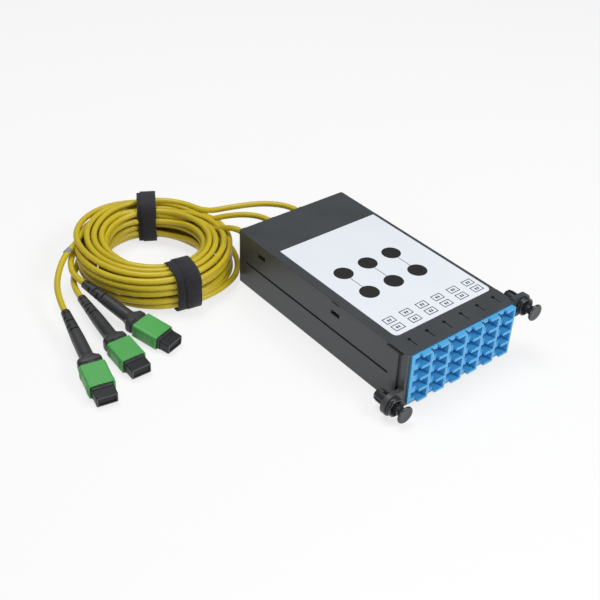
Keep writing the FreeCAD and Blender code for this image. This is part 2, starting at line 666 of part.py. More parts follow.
# ---- fasteners -----------------------------------------------------------------------------------
def grommet(x, z):
    """Expanding grommet: ringed flange before the ear and a split barrel behind it."""
    rear = FRONT_Y + EAR_T + BARREL_BACK
    bore = STEM_R + STEM_FIT
    sink = FLARE_R + FLARE_FIT
    profile = [
        (rear, bore), (rear, BARREL_TIP_R), (rear - BARREL_TAPER, BARREL_R), (FRONT_Y, BARREL_R),
        (FRONT_Y, FLANGE_R), (FRONT_Y - FLANGE_T, FLANGE_R), (FRONT_Y - FLANGE_T, NECK_R),
        (FRONT_Y - FLANGE_T - NECK_T, NECK_R), (FRONT_Y - FLANGE_T - NECK_T, RING_R),
        (GROMMET_FRONT, RING_R), (GROMMET_FRONT, sink), (GROMMET_FRONT + FLARE_L, bore),
    ]
    body = turned_y(profile, x, z)
    long_cut = box(x - SPLIT_W / 2, x + SPLIT_W / 2, rear - SPLIT_L, rear + 1, z - FLANGE_R, z + FLANGE_R)
    cross_cut = box(x - FLANGE_R, x + FLANGE_R, rear - SPLIT_L, rear + 1, z - SPLIT_W / 2, z + SPLIT_W / 2)
    return body.cut([long_cut, cross_cut])


def plunger(x, z):
    """Push-in pin, drawn pulled out."""
    face = HEAD_REAR - HEAD_T
    profile = [
        (face, 0), (face, HEAD_R),
        (HEAD_REAR, HEAD_R), (HEAD_REAR, FLARE_R), (HEAD_REAR + FLARE_L, STEM_R),
        (GROMMET_FRONT + STEM_IN, STEM_R), (GROMMET_FRONT + STEM_IN, 0),
    ]
    return turned_y(profile, x, z)


# ---- coil and straps -----------------------------------------------------------------------------
def oval(half_x, half_y, z0, z1):
    """Upright oval of four tangent arcs, with the small arcs at the ends of its long axis."""
    small = half_x * OVAL_END
    rise = half_y - small
    large = (rise ** 2 + half_x ** 2 - small ** 2) / (2 * (half_x - small))
    lean = math.atan2(rise, large - half_x)
    x, y = COIL_C
    joint_x = (large - half_x) - large * math.cos(lean)
    joint_y = large * math.sin(lean)
    points = [Vec(x - joint_x, y + joint_y, z0), Vec(x, y + half_y, z0), Vec(x + joint_x, y + joint_y, z0),
              Vec(x - half_x, y, z0), Vec(x + joint_x, y - joint_y, z0), Vec(x, y - half_y, z0),
              Vec(x - joint_x, y - joint_y, z0), Vec(x + half_x, y, z0)]
    edges = []
    for i in range(0, 8, 2):
        edges.append(Part.Arc(points[i], points[i + 1], points[(i + 2) % 8]).toShape())
    return Part.Face(Part.Wire(edges)).extrude(Vec(0, 0, z1 - z0))


def coil():
    """Outer shape of the wound cords."""
    top = COIL_LOW + COIL_H
    ring = oval(COIL_A + COIL_HALF_W, COIL_B + COIL_HALF_W, COIL_LOW, top)
    ring = ring.cut(oval(COIL_A - COIL_HALF_W, COIL_B - COIL_HALF_W, COIL_LOW - 1, top + 1))
    rims = [e for e in ring.Edges if e.BoundBox.ZLength < 0.01]
    return ring.makeChamfer(COIL_EDGE, rims)


def coil_frame(degrees):
    """Middle of the winding at an angle, and the direction across it there."""
    t = math.radians(degrees)
    middle = Vec(COIL_C[0] + COIL_A * math.cos(t), COIL_C[1] + COIL_B * math.sin(t), 0)
    across = Vec(COIL_B * math.cos(t), COIL_A * math.sin(t), 0).normalize()
    return middle, across


def strap(degrees):
    """Hook-and-loop band round the winding with its loose end folded beside."""
    middle, across = coil_frame(degrees)
    inner_w = COIL_HALF_W + STRAP_SIDE_GAP
    half_w = inner_w + STRAP_T
    low = COIL_LOW - STRAP_T - STRAP_GAP
    high = COIL_LOW + COIL_H + STRAP_GAP + STRAP_T
    edge = COIL_EDGE + STRAP_T
    outer = bevelled((-half_w, -STRAP_W / 2, low), (half_w, STRAP_W / 2, high), edge, 1)
    inner = bevelled((-inner_w, -STRAP_W, low + STRAP_T), (inner_w, STRAP_W, high - STRAP_T), COIL_EDGE, 1)
    tab = bevelled((half_w, -STRAP_W / 2 + STRAP_TAB_SHIFT, high - edge - STRAP_TAB_L),
                   (half_w + STRAP_T, STRAP_W / 2 + STRAP_TAB_SHIFT, high - edge), STRAP_TAB_EDGE, 0)
    band = outer.cut(inner).fuse(tab)
    angle = math.degrees(math.atan2(across.y, across.x))
    band.rotate(Vec(0, 0, 0), Vec(0, 0, 1), angle)
    band.translate(middle)
    return band


# ---- multi-fibre push-on connectors, nose along +X of their own frame --------------------------------
def rounded_bar(x0, x1, width, height, radius):
    return rounded((x0, -width / 2, -height / 2), (x1, width / 2, height / 2), radius, 0)


def bevelled_bar(x0, x1, width, height, size):
    return bevelled((x0, -width / 2, -height / 2), (x1, width / 2, height / 2), size, 0)


def nose_key(x0, x1, gap):
    """Key on the nose's upper broad side, or with a gap the way for it."""
    half = NOSE_KEY_W / 2 + gap
    return box(x0, x1, -half, half, 0, BODY_NOSE_H / 2 + NOSE_KEY_T + gap)


def coupling():
    """Sliding outer sleeve."""
    outer = rounded_bar(COUPLING_REAR, COUPLING_L / 2, COUPLING_W, COUPLING_H, COUPLING_R)
    bore_w = BODY_NOSE_W + 2 * COUPLING_FIT
    bore_h = BODY_NOSE_H + 2 * COUPLING_FIT
    bore = bevelled_bar(COUPLING_REAR - 1, COUPLING_L, bore_w, bore_h, BODY_NOSE_EDGE)
    return outer.cut([bore, nose_key(COUPLING_REAR - 1, COUPLING_L, KEYWAY_FIT)])


def inner_housing():
    """Keyed nose, neck and collar in one moulding, hollow for the ferrule and the dust cap."""
    nose = bevelled_bar(COLLAR_REAR, NOSE_X, BODY_NOSE_W, BODY_NOSE_H, BODY_NOSE_EDGE)
    collar = bevelled_bar(COLLAR_REAR, COLLAR_FRONT, COLLAR_W, COLLAR_H, COLLAR_EDGE)
    upright = [e for e in collar.Edges if abs(e.CenterOfMass.x - COLLAR_REAR) < 1e-6 and
               abs(abs(e.CenterOfMass.y) - COLLAR_W / 2) < 1e-6]
    collar = collar.makeChamfer(COLLAR_FLARE, upright)
    key = nose_key(COLLAR_FRONT, NOSE_X - NOSE_KEY_BACK, 0)
    seat_w = BODY_NOSE_W - 2 * NOSE_WALL_W
    seat_h = BODY_NOSE_H - 2 * NOSE_WALL_H
    seat = box(NOSE_X - NOSE_DEPTH, NOSE_X + 1, -seat_w / 2, seat_w / 2, -seat_h / 2, seat_h / 2)
    way_w = MT_FLANGE_W + 2 * MT_FIT
    way_h = MT_FLANGE_H + 2 * MT_FIT
    way = box(COLLAR_REAR + SPRING_SEAT, NOSE_X, -way_w / 2, way_w / 2, -way_h / 2, way_h / 2)
    boot_seat = rod_x(BOOT_NECK_R + BOOT_NECK_FIT, COLLAR_REAR - 1, COLLAR_REAR + BOOT_IN + BOOT_SEAT_GAP)
    return nose.fuse([collar, key]).cut([seat, way, boot_seat])


def mt_ferrule():
    """Multi-fibre ferrule with its guide pins and rear flange."""
    face = NOSE_X + MT_FRONT
    block = box(face - MT_L, face, -MT_W / 2, MT_W / 2, -MT_H / 2, MT_H / 2)
    flange = box(face - MT_L, face - MT_L + MT_FLANGE_L, -MT_FLANGE_W / 2, MT_FLANGE_W / 2,
                 -MT_FLANGE_H / 2, MT_FLANGE_H / 2)
    pins = []
    for y in (-MT_PIN_HALF, MT_PIN_HALF):
        pin = rod_x(MT_PIN_R, face - 1, face + MT_PIN_OUT, PIN_SIDES)
        pin.translate(Vec(0, y, 0))
        pins.append(pin)
    return block.fuse([flange] + pins)


def ferrule_spring():
    """Spring behind the ferrule, drawn as its sleeve of wire."""
    front = NOSE_X + MT_FRONT - MT_L
    rear = COLLAR_REAR + SPRING_SEAT
    outer = rod_x(SPRING_R, rear, front, SPRING_SIDES)
    return outer.cut(rod_x(SPRING_R - 2 * SPRING_WIRE_R, rear - 1, front + 1, SPRING_SIDES))


def dust_cap():
    outer = bevelled_bar(NOSE_X - CAP_IN, NOSE_X + CAP_OUT, CAP_W, CAP_H, CAP_EDGE)
    hollow_w = MT_W + 2 * CAP_FIT
    hollow_h = MT_H + 2 * CAP_FIT
    reach = NOSE_X + MT_FRONT + MT_PIN_OUT + CAP_FIT
    hollow = box(NOSE_X - CAP_IN - 1, reach, -hollow_w / 2, hollow_w / 2, -hollow_h / 2, hollow_h / 2)
    front = NOSE_X + CAP_OUT
    dish = box(front - CAP_FACE_D, front + 1, CAP_FACE_RIM - CAP_W / 2, CAP_W / 2 - CAP_FACE_RIM,
               CAP_FACE_RIM - CAP_H / 2, CAP_H / 2 - CAP_FACE_RIM)
    return outer.cut([hollow, dish])


def boot():
    """Tapered strain relief with crosswise flex slots on the cord's end, along -X from the collar."""
    profile = [(BOOT_IN, 0), (BOOT_IN, BOOT_NECK_R), (0, BOOT_NECK_R), (0, BOOT_FRONT_R),
               (-BOOT_PLAIN_L, BOOT_MID_R), (-BOOT_L, BOOT_END_R), (-BOOT_L, 0)]
    body = turned_x(profile)
    cuts = []
    for i in range(BOOT_SLOTS):
        x = -BOOT_L + BOOT_TIP + i * BOOT_SLOT_PITCH
        for side in (-1, 1):
            reach = BOOT_FRONT_R + 1
            lo, hi = sorted((side * BOOT_CORE_R, side * reach))
            wide = (-reach, reach)
            across, up = ((lo, hi), wide) if i % 2 else (wide, (lo, hi))
            cuts.append(box(x, x + BOOT_SLOT_W, across[0], across[1], up[0], up[1]))
    return body.cut(cuts)


def boot_turn(key):
    """Attitude of a boot in its connector's frame: it leans a little in the collar."""
    lean = math.degrees(math.asin(CONNECTORS[key][3] / BOOT_L))
    return FreeCAD.Placement(Vec(COLLAR_REAR, 0, 0), FreeCAD.Rotation(Vec(0, 0, 1), -lean))


def from_coil(point):
    """A point given from the winding's middle, in the common frame."""
    return (COIL_C[0] + point[0], COIL_C[1] + point[1], point[2])


def stance(key):
    """Place and attitude of one connector."""
    place, yaw, tilt, _ = CONNECTORS[key]
    turn = FreeCAD.Rotation(Vec(0, 0, 1), yaw).multiply(FreeCAD.Rotation(Vec(0, 1, 0), tilt))
    return FreeCAD.Placement(Vec(*from_coil(place)), turn)


def placed(shape, key):
    """A connector piece in the place and attitude of one connector."""
    moved = shape.copy()
    moved.Placement = stance(key).multiply(moved.Placement)
    return moved


def lead_points(key, gland_x):
    """Route of a cord from its fan-out block through the gland to the winding."""
    points = [(gland_x, FAN_REAR, GLAND_Z), (gland_x, REAR_Y + LEAD_OUT[key], GLAND_Z)]
    for x, y, rise in LEAD_WAY[key]:
        points.append(from_coil((x, y, GLAND_Z + rise)))
    return points + [from_coil(LEAD_END[key])]


def tail_points(key):
    """Route of a cord from the winding to its boot, straight over the last run."""
    behind = stance(key).multiply(boot_turn(key))
    points = [from_coil(p) for p in TAILS[key]]
    for back in (BOOT_L + TAIL_END_RUN[key], BOOT_L):
        points.append(tuple(behind.multVec(Vec(-back, 0, 0))))
    return points


def report_tube(name, points, solid, radii, length):
    ideal = math.pi * CORD_R ** 2 * length
    shown = ", ".join("%.1f" % r for r in radii)
    print("%s: length %.1f, radii %s, volume/ideal %.4f" % (name, length, shown, solid.Volume / ideal))
    print("   points " + "; ".join("(%.1f, %.1f, %.1f)" % tuple(p) for p in points))


def main():
    os.makedirs("parts", exist_ok=True)
    save("base_tray", base_tray())
    save("top_cover", top_cover())
    save("front_frame", front_frame())
    save("label", label())
    for number, x in enumerate(COLUMN_XS, 1):
        save("lc_adapter_%d" % number, lc_adapter(x))
    all_axes = axes_of(range(COLUMNS))
    save("alignment_sleeves", Part.makeCompound([alignment_sleeve(x, z) for x, z in all_axes]))
    save("plug_ferrules", Part.makeCompound([plug_ferrule(x, z) for x, z in all_axes]))
    for i, key in enumerate(CORDS):
        columns = (COLUMNS - 2 - 2 * i, COLUMNS - 1 - 2 * i)
        save("lc_plugs_" + key, Part.makeCompound([lc_plug(x, z) for x, z in axes_of(columns)]))
        save("fan_out_block_" + key, fan_out_block(GLAND_XS[i]))
        save("fibre_harness_" + key, fibres(GLAND_XS[i], columns))
        save("cord_gland_" + key, gland(GLAND_XS[i]))
    for side, (x, z) in EARS.items():
        save("grommet_" + side, grommet(x, z))
        save("plunger_" + side, plunger(x, z))
    save("cord_coil", coil())
    save("strap_rear", strap(STRAP_REAR_DEG))
    save("strap_front", strap(STRAP_FRONT_DEG))
    for i, key in enumerate(CORDS):
        for kind, points in (("lead", lead_points(key, GLAND_XS[i])), ("tail", tail_points(key))):
            solid, radii, length = tube(points, CORD_R)
            name = "cord_%s_%s" % (kind, key)
            report_tube(name, points, solid, radii, length)
            save(name, solid)
        save("mpo_coupling_" + key, placed(coupling(), key))
        save("mpo_housing_" + key, placed(inner_housing(), key))
        save("mpo_ferrule_" + key, placed(mt_ferrule(), key))
        save("mpo_spring_" + key, placed(ferrule_spring(), key))
        save("mpo_dust_cap_" + key, placed(dust_cap(), key))
        leaning = boot()
        leaning.Placement = boot_turn(key)
        save("mpo_boot_" + key, placed(leaning, key))


main()
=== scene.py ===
"""Fibre cassette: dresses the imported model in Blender 4.5 and lights it. Metres, the CAD's frame."""
import math

import bpy
from mathutils import Matrix, Vector


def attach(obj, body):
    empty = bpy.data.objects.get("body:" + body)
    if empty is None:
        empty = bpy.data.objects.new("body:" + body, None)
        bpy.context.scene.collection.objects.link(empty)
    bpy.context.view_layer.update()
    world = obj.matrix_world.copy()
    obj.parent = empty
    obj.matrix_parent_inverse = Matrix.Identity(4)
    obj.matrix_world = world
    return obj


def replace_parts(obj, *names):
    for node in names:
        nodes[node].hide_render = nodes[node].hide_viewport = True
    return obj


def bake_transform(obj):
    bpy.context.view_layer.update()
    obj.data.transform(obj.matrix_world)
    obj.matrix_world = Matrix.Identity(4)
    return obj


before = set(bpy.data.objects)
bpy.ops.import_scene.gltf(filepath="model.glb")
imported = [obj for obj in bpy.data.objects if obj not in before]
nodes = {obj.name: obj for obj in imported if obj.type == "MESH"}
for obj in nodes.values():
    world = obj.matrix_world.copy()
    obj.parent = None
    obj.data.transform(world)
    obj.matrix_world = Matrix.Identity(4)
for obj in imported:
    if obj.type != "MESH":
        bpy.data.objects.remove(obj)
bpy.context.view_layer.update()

MM = 0.001
BODY = "cassette"

# ---- camera ------------------------------------------------------------------------------------------
AZIMUTH, ELEVATION, ROLL = math.radians(-39.6), math.radians(36.0), math.radians(2.34)
CAMERA_AT = (-258.61, -261.94, 273.36)
LENS, SENSOR = 56.5, 36.0
back = Vector((math.sin(AZIMUTH) * math.cos(ELEVATION), -math.cos(AZIMUTH) * math.cos(ELEVATION),
               math.sin(ELEVATION)))
right = (-back).cross(Vector((0, 0, 1))).normalized()
up = right.cross(-back)
cam_right = right * math.cos(ROLL) + up * math.sin(ROLL)
cam_up = up * math.cos(ROLL) - right * math.sin(ROLL)
camera = bpy.data.objects.new("camera", bpy.data.cameras.new("camera"))
bpy.context.collection.objects.link(camera)
camera.matrix_world = (Matrix.Translation(Vector(CAMERA_AT) * MM)
                       @ Matrix((cam_right, cam_up, back)).transposed().to_4x4())
camera.data.lens = LENS
camera.data.sensor_width = SENSOR
camera.data.clip_start = 0.02
camera.data.clip_end = 20.0
bpy.context.scene.camera = camera


# ---- materials ---------------------------------------------------------------------------------------
CLOUD_SCALE = 60.0                  # broad wander of colour and gloss, per metre
FINE_SHARE, CLOUD_SHARE = 0.35, 0.65
GRAIN_DEPTH, PILE_DEPTH = 0.00008, 0.0003


def material(name, base, dark, rough, grain, bump, scale=1500.0, edge=0.0, stretch=(1, 1, 1), **sockets):
    """Moulded or rubber surface: two near colours and the gloss wander, with a fine grain in relief.

    grain is how far the roughness wanders, scale the grain's size per metre, edge the radius in
    metres to which sharp edges look rounded.
    """
    mat = bpy.data.materials.new(name)
    mat.use_nodes = True
    tree = mat.node_tree
    shader = tree.nodes["Principled BSDF"]
    for socket, value in sockets.items():
        shader.inputs[socket.replace("_", " ")].default_value = value
    place = tree.nodes.new("ShaderNodeTexCoord")
    mapping = tree.nodes.new("ShaderNodeMapping")
    mapping.inputs["Scale"].default_value = stretch
    tree.links.new(place.outputs["Object"], mapping.inputs["Vector"])
    clouds = tree.nodes.new("ShaderNodeTexNoise")
    clouds.inputs["Scale"].default_value = CLOUD_SCALE
    clouds.inputs["Detail"].default_value = 5.0
    tree.links.new(mapping.outputs["Vector"], clouds.inputs["Vector"])
    fine = tree.nodes.new("ShaderNodeTexNoise")
    fine.inputs["Scale"].default_value = scale
    fine.inputs["Detail"].default_value = 3.0
    tree.links.new(mapping.outputs["Vector"], fine.inputs["Vector"])
    ramp = tree.nodes.new("ShaderNodeValToRGB")
    ramp.color_ramp.elements[0].position = 0.3
    ramp.color_ramp.elements[1].position = 0.7
    ramp.color_ramp.elements[0].color = (*dark, 1)
    ramp.color_ramp.elements[1].color = (*base, 1)
    both = tree.nodes.new("ShaderNodeMath")
    both.operation = "MULTIPLY_ADD"
    both.inputs[1].default_value = FINE_SHARE
    tree.links.new(fine.outputs["Fac"], both.inputs[0])
    part = tree.nodes.new("ShaderNodeMath")
    part.operation = "MULTIPLY"
    part.inputs[1].default_value = CLOUD_SHARE
    tree.links.new(clouds.outputs["Fac"], part.inputs[0])
    tree.links.new(part.outputs["Value"], both.inputs[2])
    tree.links.new(both.outputs["Value"], ramp.inputs["Fac"])
    tree.links.new(ramp.outputs["Color"], shader.inputs["Base Color"])
    gloss = tree.nodes.new("ShaderNodeMapRange")
    gloss.inputs["To Min"].default_value = rough - grain
    gloss.inputs["To Max"].default_value = rough + grain
    tree.links.new(both.outputs["Value"], gloss.inputs["Value"])
    tree.links.new(gloss.outputs["Result"], shader.inputs["Roughness"])
    relief = tree.nodes.new("ShaderNodeBump")
    relief.inputs["Strength"].default_value = bump
    relief.inputs["Distance"].default_value = GRAIN_DEPTH
    tree.links.new(fine.outputs["Fac"], relief.inputs["Height"])
    if edge:
        soft = tree.nodes.new("ShaderNodeBevel")
        soft.samples = 4
        soft.inputs["Radius"].default_value = edge
        tree.links.new(soft.outputs["Normal"], relief.inputs["Normal"])
    tree.links.new(relief.outputs["Normal"], shader.inputs["Normal"])
    return mat


def hook_and_loop():
    """Fuzzy loop fabric: a dense pile in relief, lighter where the fibres stand up."""
    mat = material("hook_and_loop", (0.024, 0.024, 0.032), (0.006, 0.006, 0.009), 0.93, 0.05, 1.0, 1600.0,
                   Sheen_Weight=0.15, Sheen_Roughness=0.5)
    relief = mat.node_tree.nodes["Principled BSDF"].inputs["Normal"].links[0].from_node
    relief.inputs["Distance"].default_value = PILE_DEPTH
    return mat


mats = {
    "black_plastic": material("black_plastic", (0.058, 0.064, 0.069), (0.042, 0.047, 0.051), 0.42, 0.07, 0.35,
                              2600.0, edge=0.0002),
    "label_film": material("label_film", (0.83, 0.87, 0.93), (0.80, 0.84, 0.905), 0.33, 0.05, 0.05, 900.0),
    # ink of the label's print; the same dark also serves as painted shade on the keyhole strip, the column
    # notches and the cap dishes
    "print_ink_and_painted_shade": material("print_ink_and_painted_shade", (0.009, 0.009, 0.010), (0.006, 0.006, 0.007), 0.60, 0.05, 0.10,
                          3000.0),
    "white_ceramic": material("white_ceramic", (0.82, 0.80, 0.74), (0.74, 0.72, 0.66), 0.18, 0.04, 0.05,
                              2500.0),
    "fastener_black": material("fastener_black", (0.034, 0.036, 0.040), (0.022, 0.024, 0.027), 0.24, 0.08,
                               0.20, 2200.0, edge=0.00015),
    "adapter_blue": material("adapter_blue", (0.088, 0.430, 0.790), (0.066, 0.370, 0.720), 0.25, 0.06, 0.12,
                             1800.0, edge=0.00022),
    # painted highlight: a lighter blue for thin strips that stand in for the light on the columns' edges
    "adapter_painted_highlight": material("adapter_painted_highlight", (0.230, 0.560, 0.860), (0.180, 0.500, 0.800), 0.25, 0.05, 0.10,
                             1800.0),
    "plug_blue": material("plug_blue", (0.050, 0.240, 0.600), (0.035, 0.190, 0.520), 0.38, 0.06, 0.12,
                          1800.0),
    "fibre_coat": material("fibre_coat", (0.70, 0.56, 0.10), (0.60, 0.46, 0.07), 0.40, 0.05, 0.10, 2500.0),
    "gland_rubber": material("gland_rubber", (0.030, 0.030, 0.031), (0.018, 0.018, 0.019), 0.60, 0.08, 0.40,
                             1800.0),
    "yellow_jacket": material("yellow_jacket", (0.640, 0.500, 0.022), (0.550, 0.425, 0.016), 0.36, 0.06, 0.14,
                              1400.0),
    "connector_black": material("connector_black", (0.045, 0.046, 0.048), (0.028, 0.029, 0.031), 0.38, 0.07,
                                0.25, 2200.0, edge=0.0002),
    "boot_rubber": material("boot_rubber", (0.050, 0.053, 0.057), (0.030, 0.032, 0.035), 0.38, 0.08, 0.45,
                            1700.0, edge=0.00015),
    "spring_steel": material("spring_steel", (0.62, 0.62, 0.60), (0.52, 0.52, 0.50), 0.26, 0.06, 0.20, 3000.0,
                             Metallic=1.0),
    "coupling_green": material("coupling_green", (0.092, 0.420, 0.100), (0.070, 0.350, 0.078), 0.42, 0.07,
                               0.30, 1500.0, edge=0.0003),
    "ferrule_resin": material("ferrule_resin", (0.060, 0.058, 0.055), (0.040, 0.039, 0.037), 0.40, 0.06, 0.15,
                              2500.0),
    "dust_cap": material("dust_cap", (0.015, 0.016, 0.019), (0.008, 0.009, 0.011), 0.48, 0.08, 0.22, 2000.0,
                         edge=0.0002, Specular_IOR_Level=0.40),
    # painted highlight: a lighter grey for the thin ring that stands in for the light on the rim round the
    # cap's dish
    "cap_painted_highlight": material("cap_painted_highlight", (0.085, 0.089, 0.097), (0.060, 0.064, 0.070), 0.40, 0.06, 0.15, 2000.0),
    "grey_marker": material("grey_marker", (0.30, 0.31, 0.35), (0.24, 0.25, 0.29), 0.40, 0.05, 0.15, 1800.0),
}
mats["hook_and_loop"] = hook_and_loop()

NODE_SLOTS = {
    "base_tray": "black_plastic", "top_cover": "black_plastic", "front_frame": "black_plastic",
    "label": "label_film", "alignment_sleeves": "white_ceramic", "plug_ferrules": "white_ceramic",
}
for number in range(1, 7):
    NODE_SLOTS["lc_adapter_%d" % number] = "adapter_blue"
for key in "abc":
    NODE_SLOTS["lc_plugs_" + key] = "plug_blue"
    NODE_SLOTS["fan_out_block_" + key] = "gland_rubber"
    NODE_SLOTS["fibre_harness_" + key] = "fibre_coat"
    NODE_SLOTS["mpo_coupling_" + key] = "coupling_green"
    NODE_SLOTS["mpo_housing_" + key] = "connector_black"
    NODE_SLOTS["mpo_ferrule_" + key] = "ferrule_resin"
    NODE_SLOTS["mpo_spring_" + key] = "spring_steel"
    NODE_SLOTS["mpo_dust_cap_" + key] = "dust_cap"
for name, slot_name in NODE_SLOTS.items():
    obj = nodes[name]
    if not obj.material_slots:
        obj.data.materials.append(mats[slot_name])
    for held in obj.material_slots:
        held.material = mats[slot_name]


# ---- mesh helpers ------------------------------------------------------------------------------------
def piece(name, verts, faces, slot_name, body=BODY, place=Matrix(), smooth_angle=35.0, mat=None):
    """A mesh piece in metres that rides on a body, with its edges sharp past an angle."""
    mesh = bpy.data.meshes.new(name)
    mesh.from_pydata([place @ Vector(v) for v in verts], [], faces)
    mesh.update()
    obj = bpy.data.objects.new(name, mesh)
    bpy.context.collection.objects.link(obj)
    mesh.materials.append(mats[mat or slot_name])
    mesh.polygons.foreach_set("use_smooth", [True] * len(mesh.polygons))
    mesh.set_sharp_from_angle(angle=math.radians(smooth_angle))
    if body:
        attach(obj, body)
    return obj


BOX_FACES = ((0, 1, 3, 2), (4, 6, 7, 5), (0, 4, 5, 1), (2, 3, 7, 6), (0, 2, 6, 4), (1, 5, 7, 3))
ON_AXIS = 1e-9


def add_box(verts, faces, lo, hi):
    """Adds a box, given by its lowest and highest corner in millimetres."""
    base = len(verts)
    verts += [(x * MM, y * MM, z * MM)
              for x in (lo[0], hi[0]) for y in (lo[1], hi[1]) for z in (lo[2], hi[2])]
    faces += [[base + i for i in face] for face in BOX_FACES]


def lathe(profile, sides=64, clamp=None):
    """Vertices and faces of a closed profile of (station, radius) turned about the X axis.

    clamp(station, y, z) may move a point sideways, which gives flats and flex slots.
    """
    verts = []
    faces = []
    for station, radius in profile:
        for i in range(sides):
            angle = 2 * math.pi * i / sides
            y, z = radius * math.cos(angle), radius * math.sin(angle)
            if clamp:
                y, z = clamp(station, y, z)
            verts.append((station, y, z))
    count = len(profile)
    for r in range(count):
        n = (r + 1) % count
        if profile[r][1] < ON_AXIS and profile[n][1] < ON_AXIS:
            continue
        for i in range(sides):
            j = (i + 1) % sides
            faces.append((r * sides + i, r * sides + j, n * sides + j, n * sides + i))
    return verts, faces


def scaled(profile):
    return [(station * MM, radius * MM) for station, radius in profile]


def softened(profile, size=0.12):
    """Profile whose corners are cut by a small bevel, except those on the axis."""
    out = []
    count = len(profile)
    for i, (x, r) in enumerate(profile):
        if r < ON_AXIS:
            out.append((x, r))
            continue
        px, pr = profile[i - 1]
        nx, nr = profile[(i + 1) % count]
        before = math.hypot(px - x, pr - r)
        after = math.hypot(nx - x, nr - r)
        cut = min(size, before / 3, after / 3)
        for qx, qr, run in ((px, pr, before), (nx, nr, after)):
            out.append((x + (qx - x) * cut / run, r + (qr - r) * cut / run))
    return out


def axis_y(x, z):
    """Turns a lathe's X axis onto the Y axis through (x, z), in millimetres."""
    turn = Matrix(((0, 1, 0), (1, 0, 0), (0, 0, -1))).to_4x4()
    return Matrix.Translation(Vector((x, 0, z)) * MM) @ turn


def cut_by_boxes(obj, boxes):
    """Cuts boxes, given by lowest and highest corner in millimetres, out of a piece's mesh."""
    verts, faces = [], []
    for lo, hi in boxes:
        add_box(verts, faces, lo, hi)
    mesh = bpy.data.meshes.new("cutter")
    mesh.from_pydata(verts, [], faces)
    cutter = bpy.data.objects.new("cutter", mesh)
    bpy.context.collection.objects.link(cutter)
    modifier = obj.modifiers.new("cut", "BOOLEAN")
    modifier.object = cutter
    modifier.operation = "DIFFERENCE"
    modifier.use_self = True
    bpy.context.view_layer.update()
    done = bpy.data.meshes.new_from_object(obj.evaluated_get(bpy.context.evaluated_depsgraph_get()))
    obj.modifiers.clear()
    obj.data = done
    obj.data.set_sharp_from_angle(angle=math.radians(35))
    bpy.data.objects.remove(cutter)


# ---- the three cords: lead, coil and tail in one line each -------------------------------------------
CORD_R = 1.5
COIL_X, COIL_Y = -62.0, 92.7
COIL_A, COIL_B = 30.6, 34.0
SECTION_U, SECTION_W = 6.9, 8.6     # half width and half height of the strands' middles
SECTION_Z = 11.4
SECTION_R = 3.2
TURN_POINTS = 16
WHOLE_TURNS = 7
OUTER_TURNS = 5
INNER = 0.5                         # the inner layer's share of the section
LEADS = {
    "a": [(7.6, 56.0, 24.9), (7.6, 68.5, 24.9), (-2.0, 81.0, 24.4), (-17.0, 89.5, 22.8), (-27.5, 97.5, 19.5)],
    "b": [(-10.2, 56.0, 24.9), (-10.2, 67.0, 24.9), (-16.0, 77.0, 24.3), (-24.0, 85.5, 21.8),
          (-29.5, 93.5, 17.0)],
    "c": [(-28.0, 56.0, 24.9), (-28.0, 66.0, 24.9), (-30.2, 75.0, 22.4), (-32.0, 83.5, 17.0)],
}
TAILS = {
    "a": [(-93.5, 113.0, 17.5), (-104.0, 107.0, 16.5), (-113.5, 97.0, 13.0), (-119.1, 85.5, 10.6),
          (-121.3, 73.8, 9.3)],
    "b": [(-95.5, 112.5, 5.0), (-102.0, 104.0, 5.5), (-108.1, 91.4, 7.6), (-108.7, 82.4, 7.0)],
    "c": [(-91.0, 115.5, 13.0), (-98.5, 110.5, 13.0), (-103.3, 103.3, 12.6), (-105.5, 95.6, 11.3),
          (-103.9, 87.9, 10.3)],
}
EXITS = {"a": (7.6, 63.0, 24.9), "b": (-10.2, 63.0, 24.9), "c": (-28.0, 63.0, 24.9)}
FLAT_U = 2 * (SECTION_U - SECTION_R)
FLAT_W = 2 * (SECTION_W - SECTION_R)
BEND = math.pi / 2 * SECTION_R
ROUND = 2 * FLAT_U + 2 * FLAT_W + 4 * BEND
# strands that stand off the winding: cord, turn, pull outwards, height, spread in turns
STRAYS = [(1, 3.90, 4.0, 4.0, 0.11), (2, 3.84, 2.2, 7.0, 0.10), (2, 0.40, 3.4, 18.5, 0.10),
          (0, 1.12, -1.8, 13.5, 0.10), (2, 1.16, -3.4, 15.5, 0.09), (1, 2.10, -1.8, 6.0, 0.09)]
INNER_STEP = 0.42                   # share of the outline that an inner turn covers
WANDER = 0.45                       # how far loose turns wander along the outline
LOOSEST = math.radians(72)          # a quarter turn from where the bundle is loosest
LOWEST = 1.75                       # strands' middles stay above this height
JOIN_IN, JOIN_OUT = 0.32, 0.30      # turns over which lead and tail merge with the winding
STRETCH = 1.0097                    # control points lie outside the smooth line that they give


def outline(q):
    """Point (outward, height) at a distance along the section's rounded outline.

    It starts at the middle of the top outer corner and runs over the top, down the inner wall,
    along the bottom and up the outer wall.
    """
    q = (q + BEND / 2) % ROUND
    u, w = SECTION_U - SECTION_R, SECTION_W - SECTION_R
    for cu, cw, start, run, du, dw in ((u, w, 0, FLAT_U, -1, 0), (-u, w, 90, FLAT_W, 0, -1),
                                       (-u, -w, 180, FLAT_U, 1, 0), (u, -w, 270, FLAT_W, 0, 1)):
        if q < BEND:
            angle = math.radians(start) + q / SECTION_R
            return cu + SECTION_R * math.cos(angle), cw + SECTION_R * math.sin(angle)
        q -= BEND
        angle = math.radians(start + 90)
        if q < run:
            return cu + SECTION_R * math.cos(angle) + du * q, cw + SECTION_R * math.sin(angle) + dw * q
        q -= run
    return u + SECTION_R, 0.0


def where(point):
    """Angle, outward distance from the coil's middle line, and height of a point."""
    x, y = (point[0] - COIL_X) / COIL_A, (point[1] - COIL_Y) / COIL_B
    return math.atan2(y, x), (math.hypot(x, y) - 1) * (COIL_A + COIL_B) / 2, point[2]


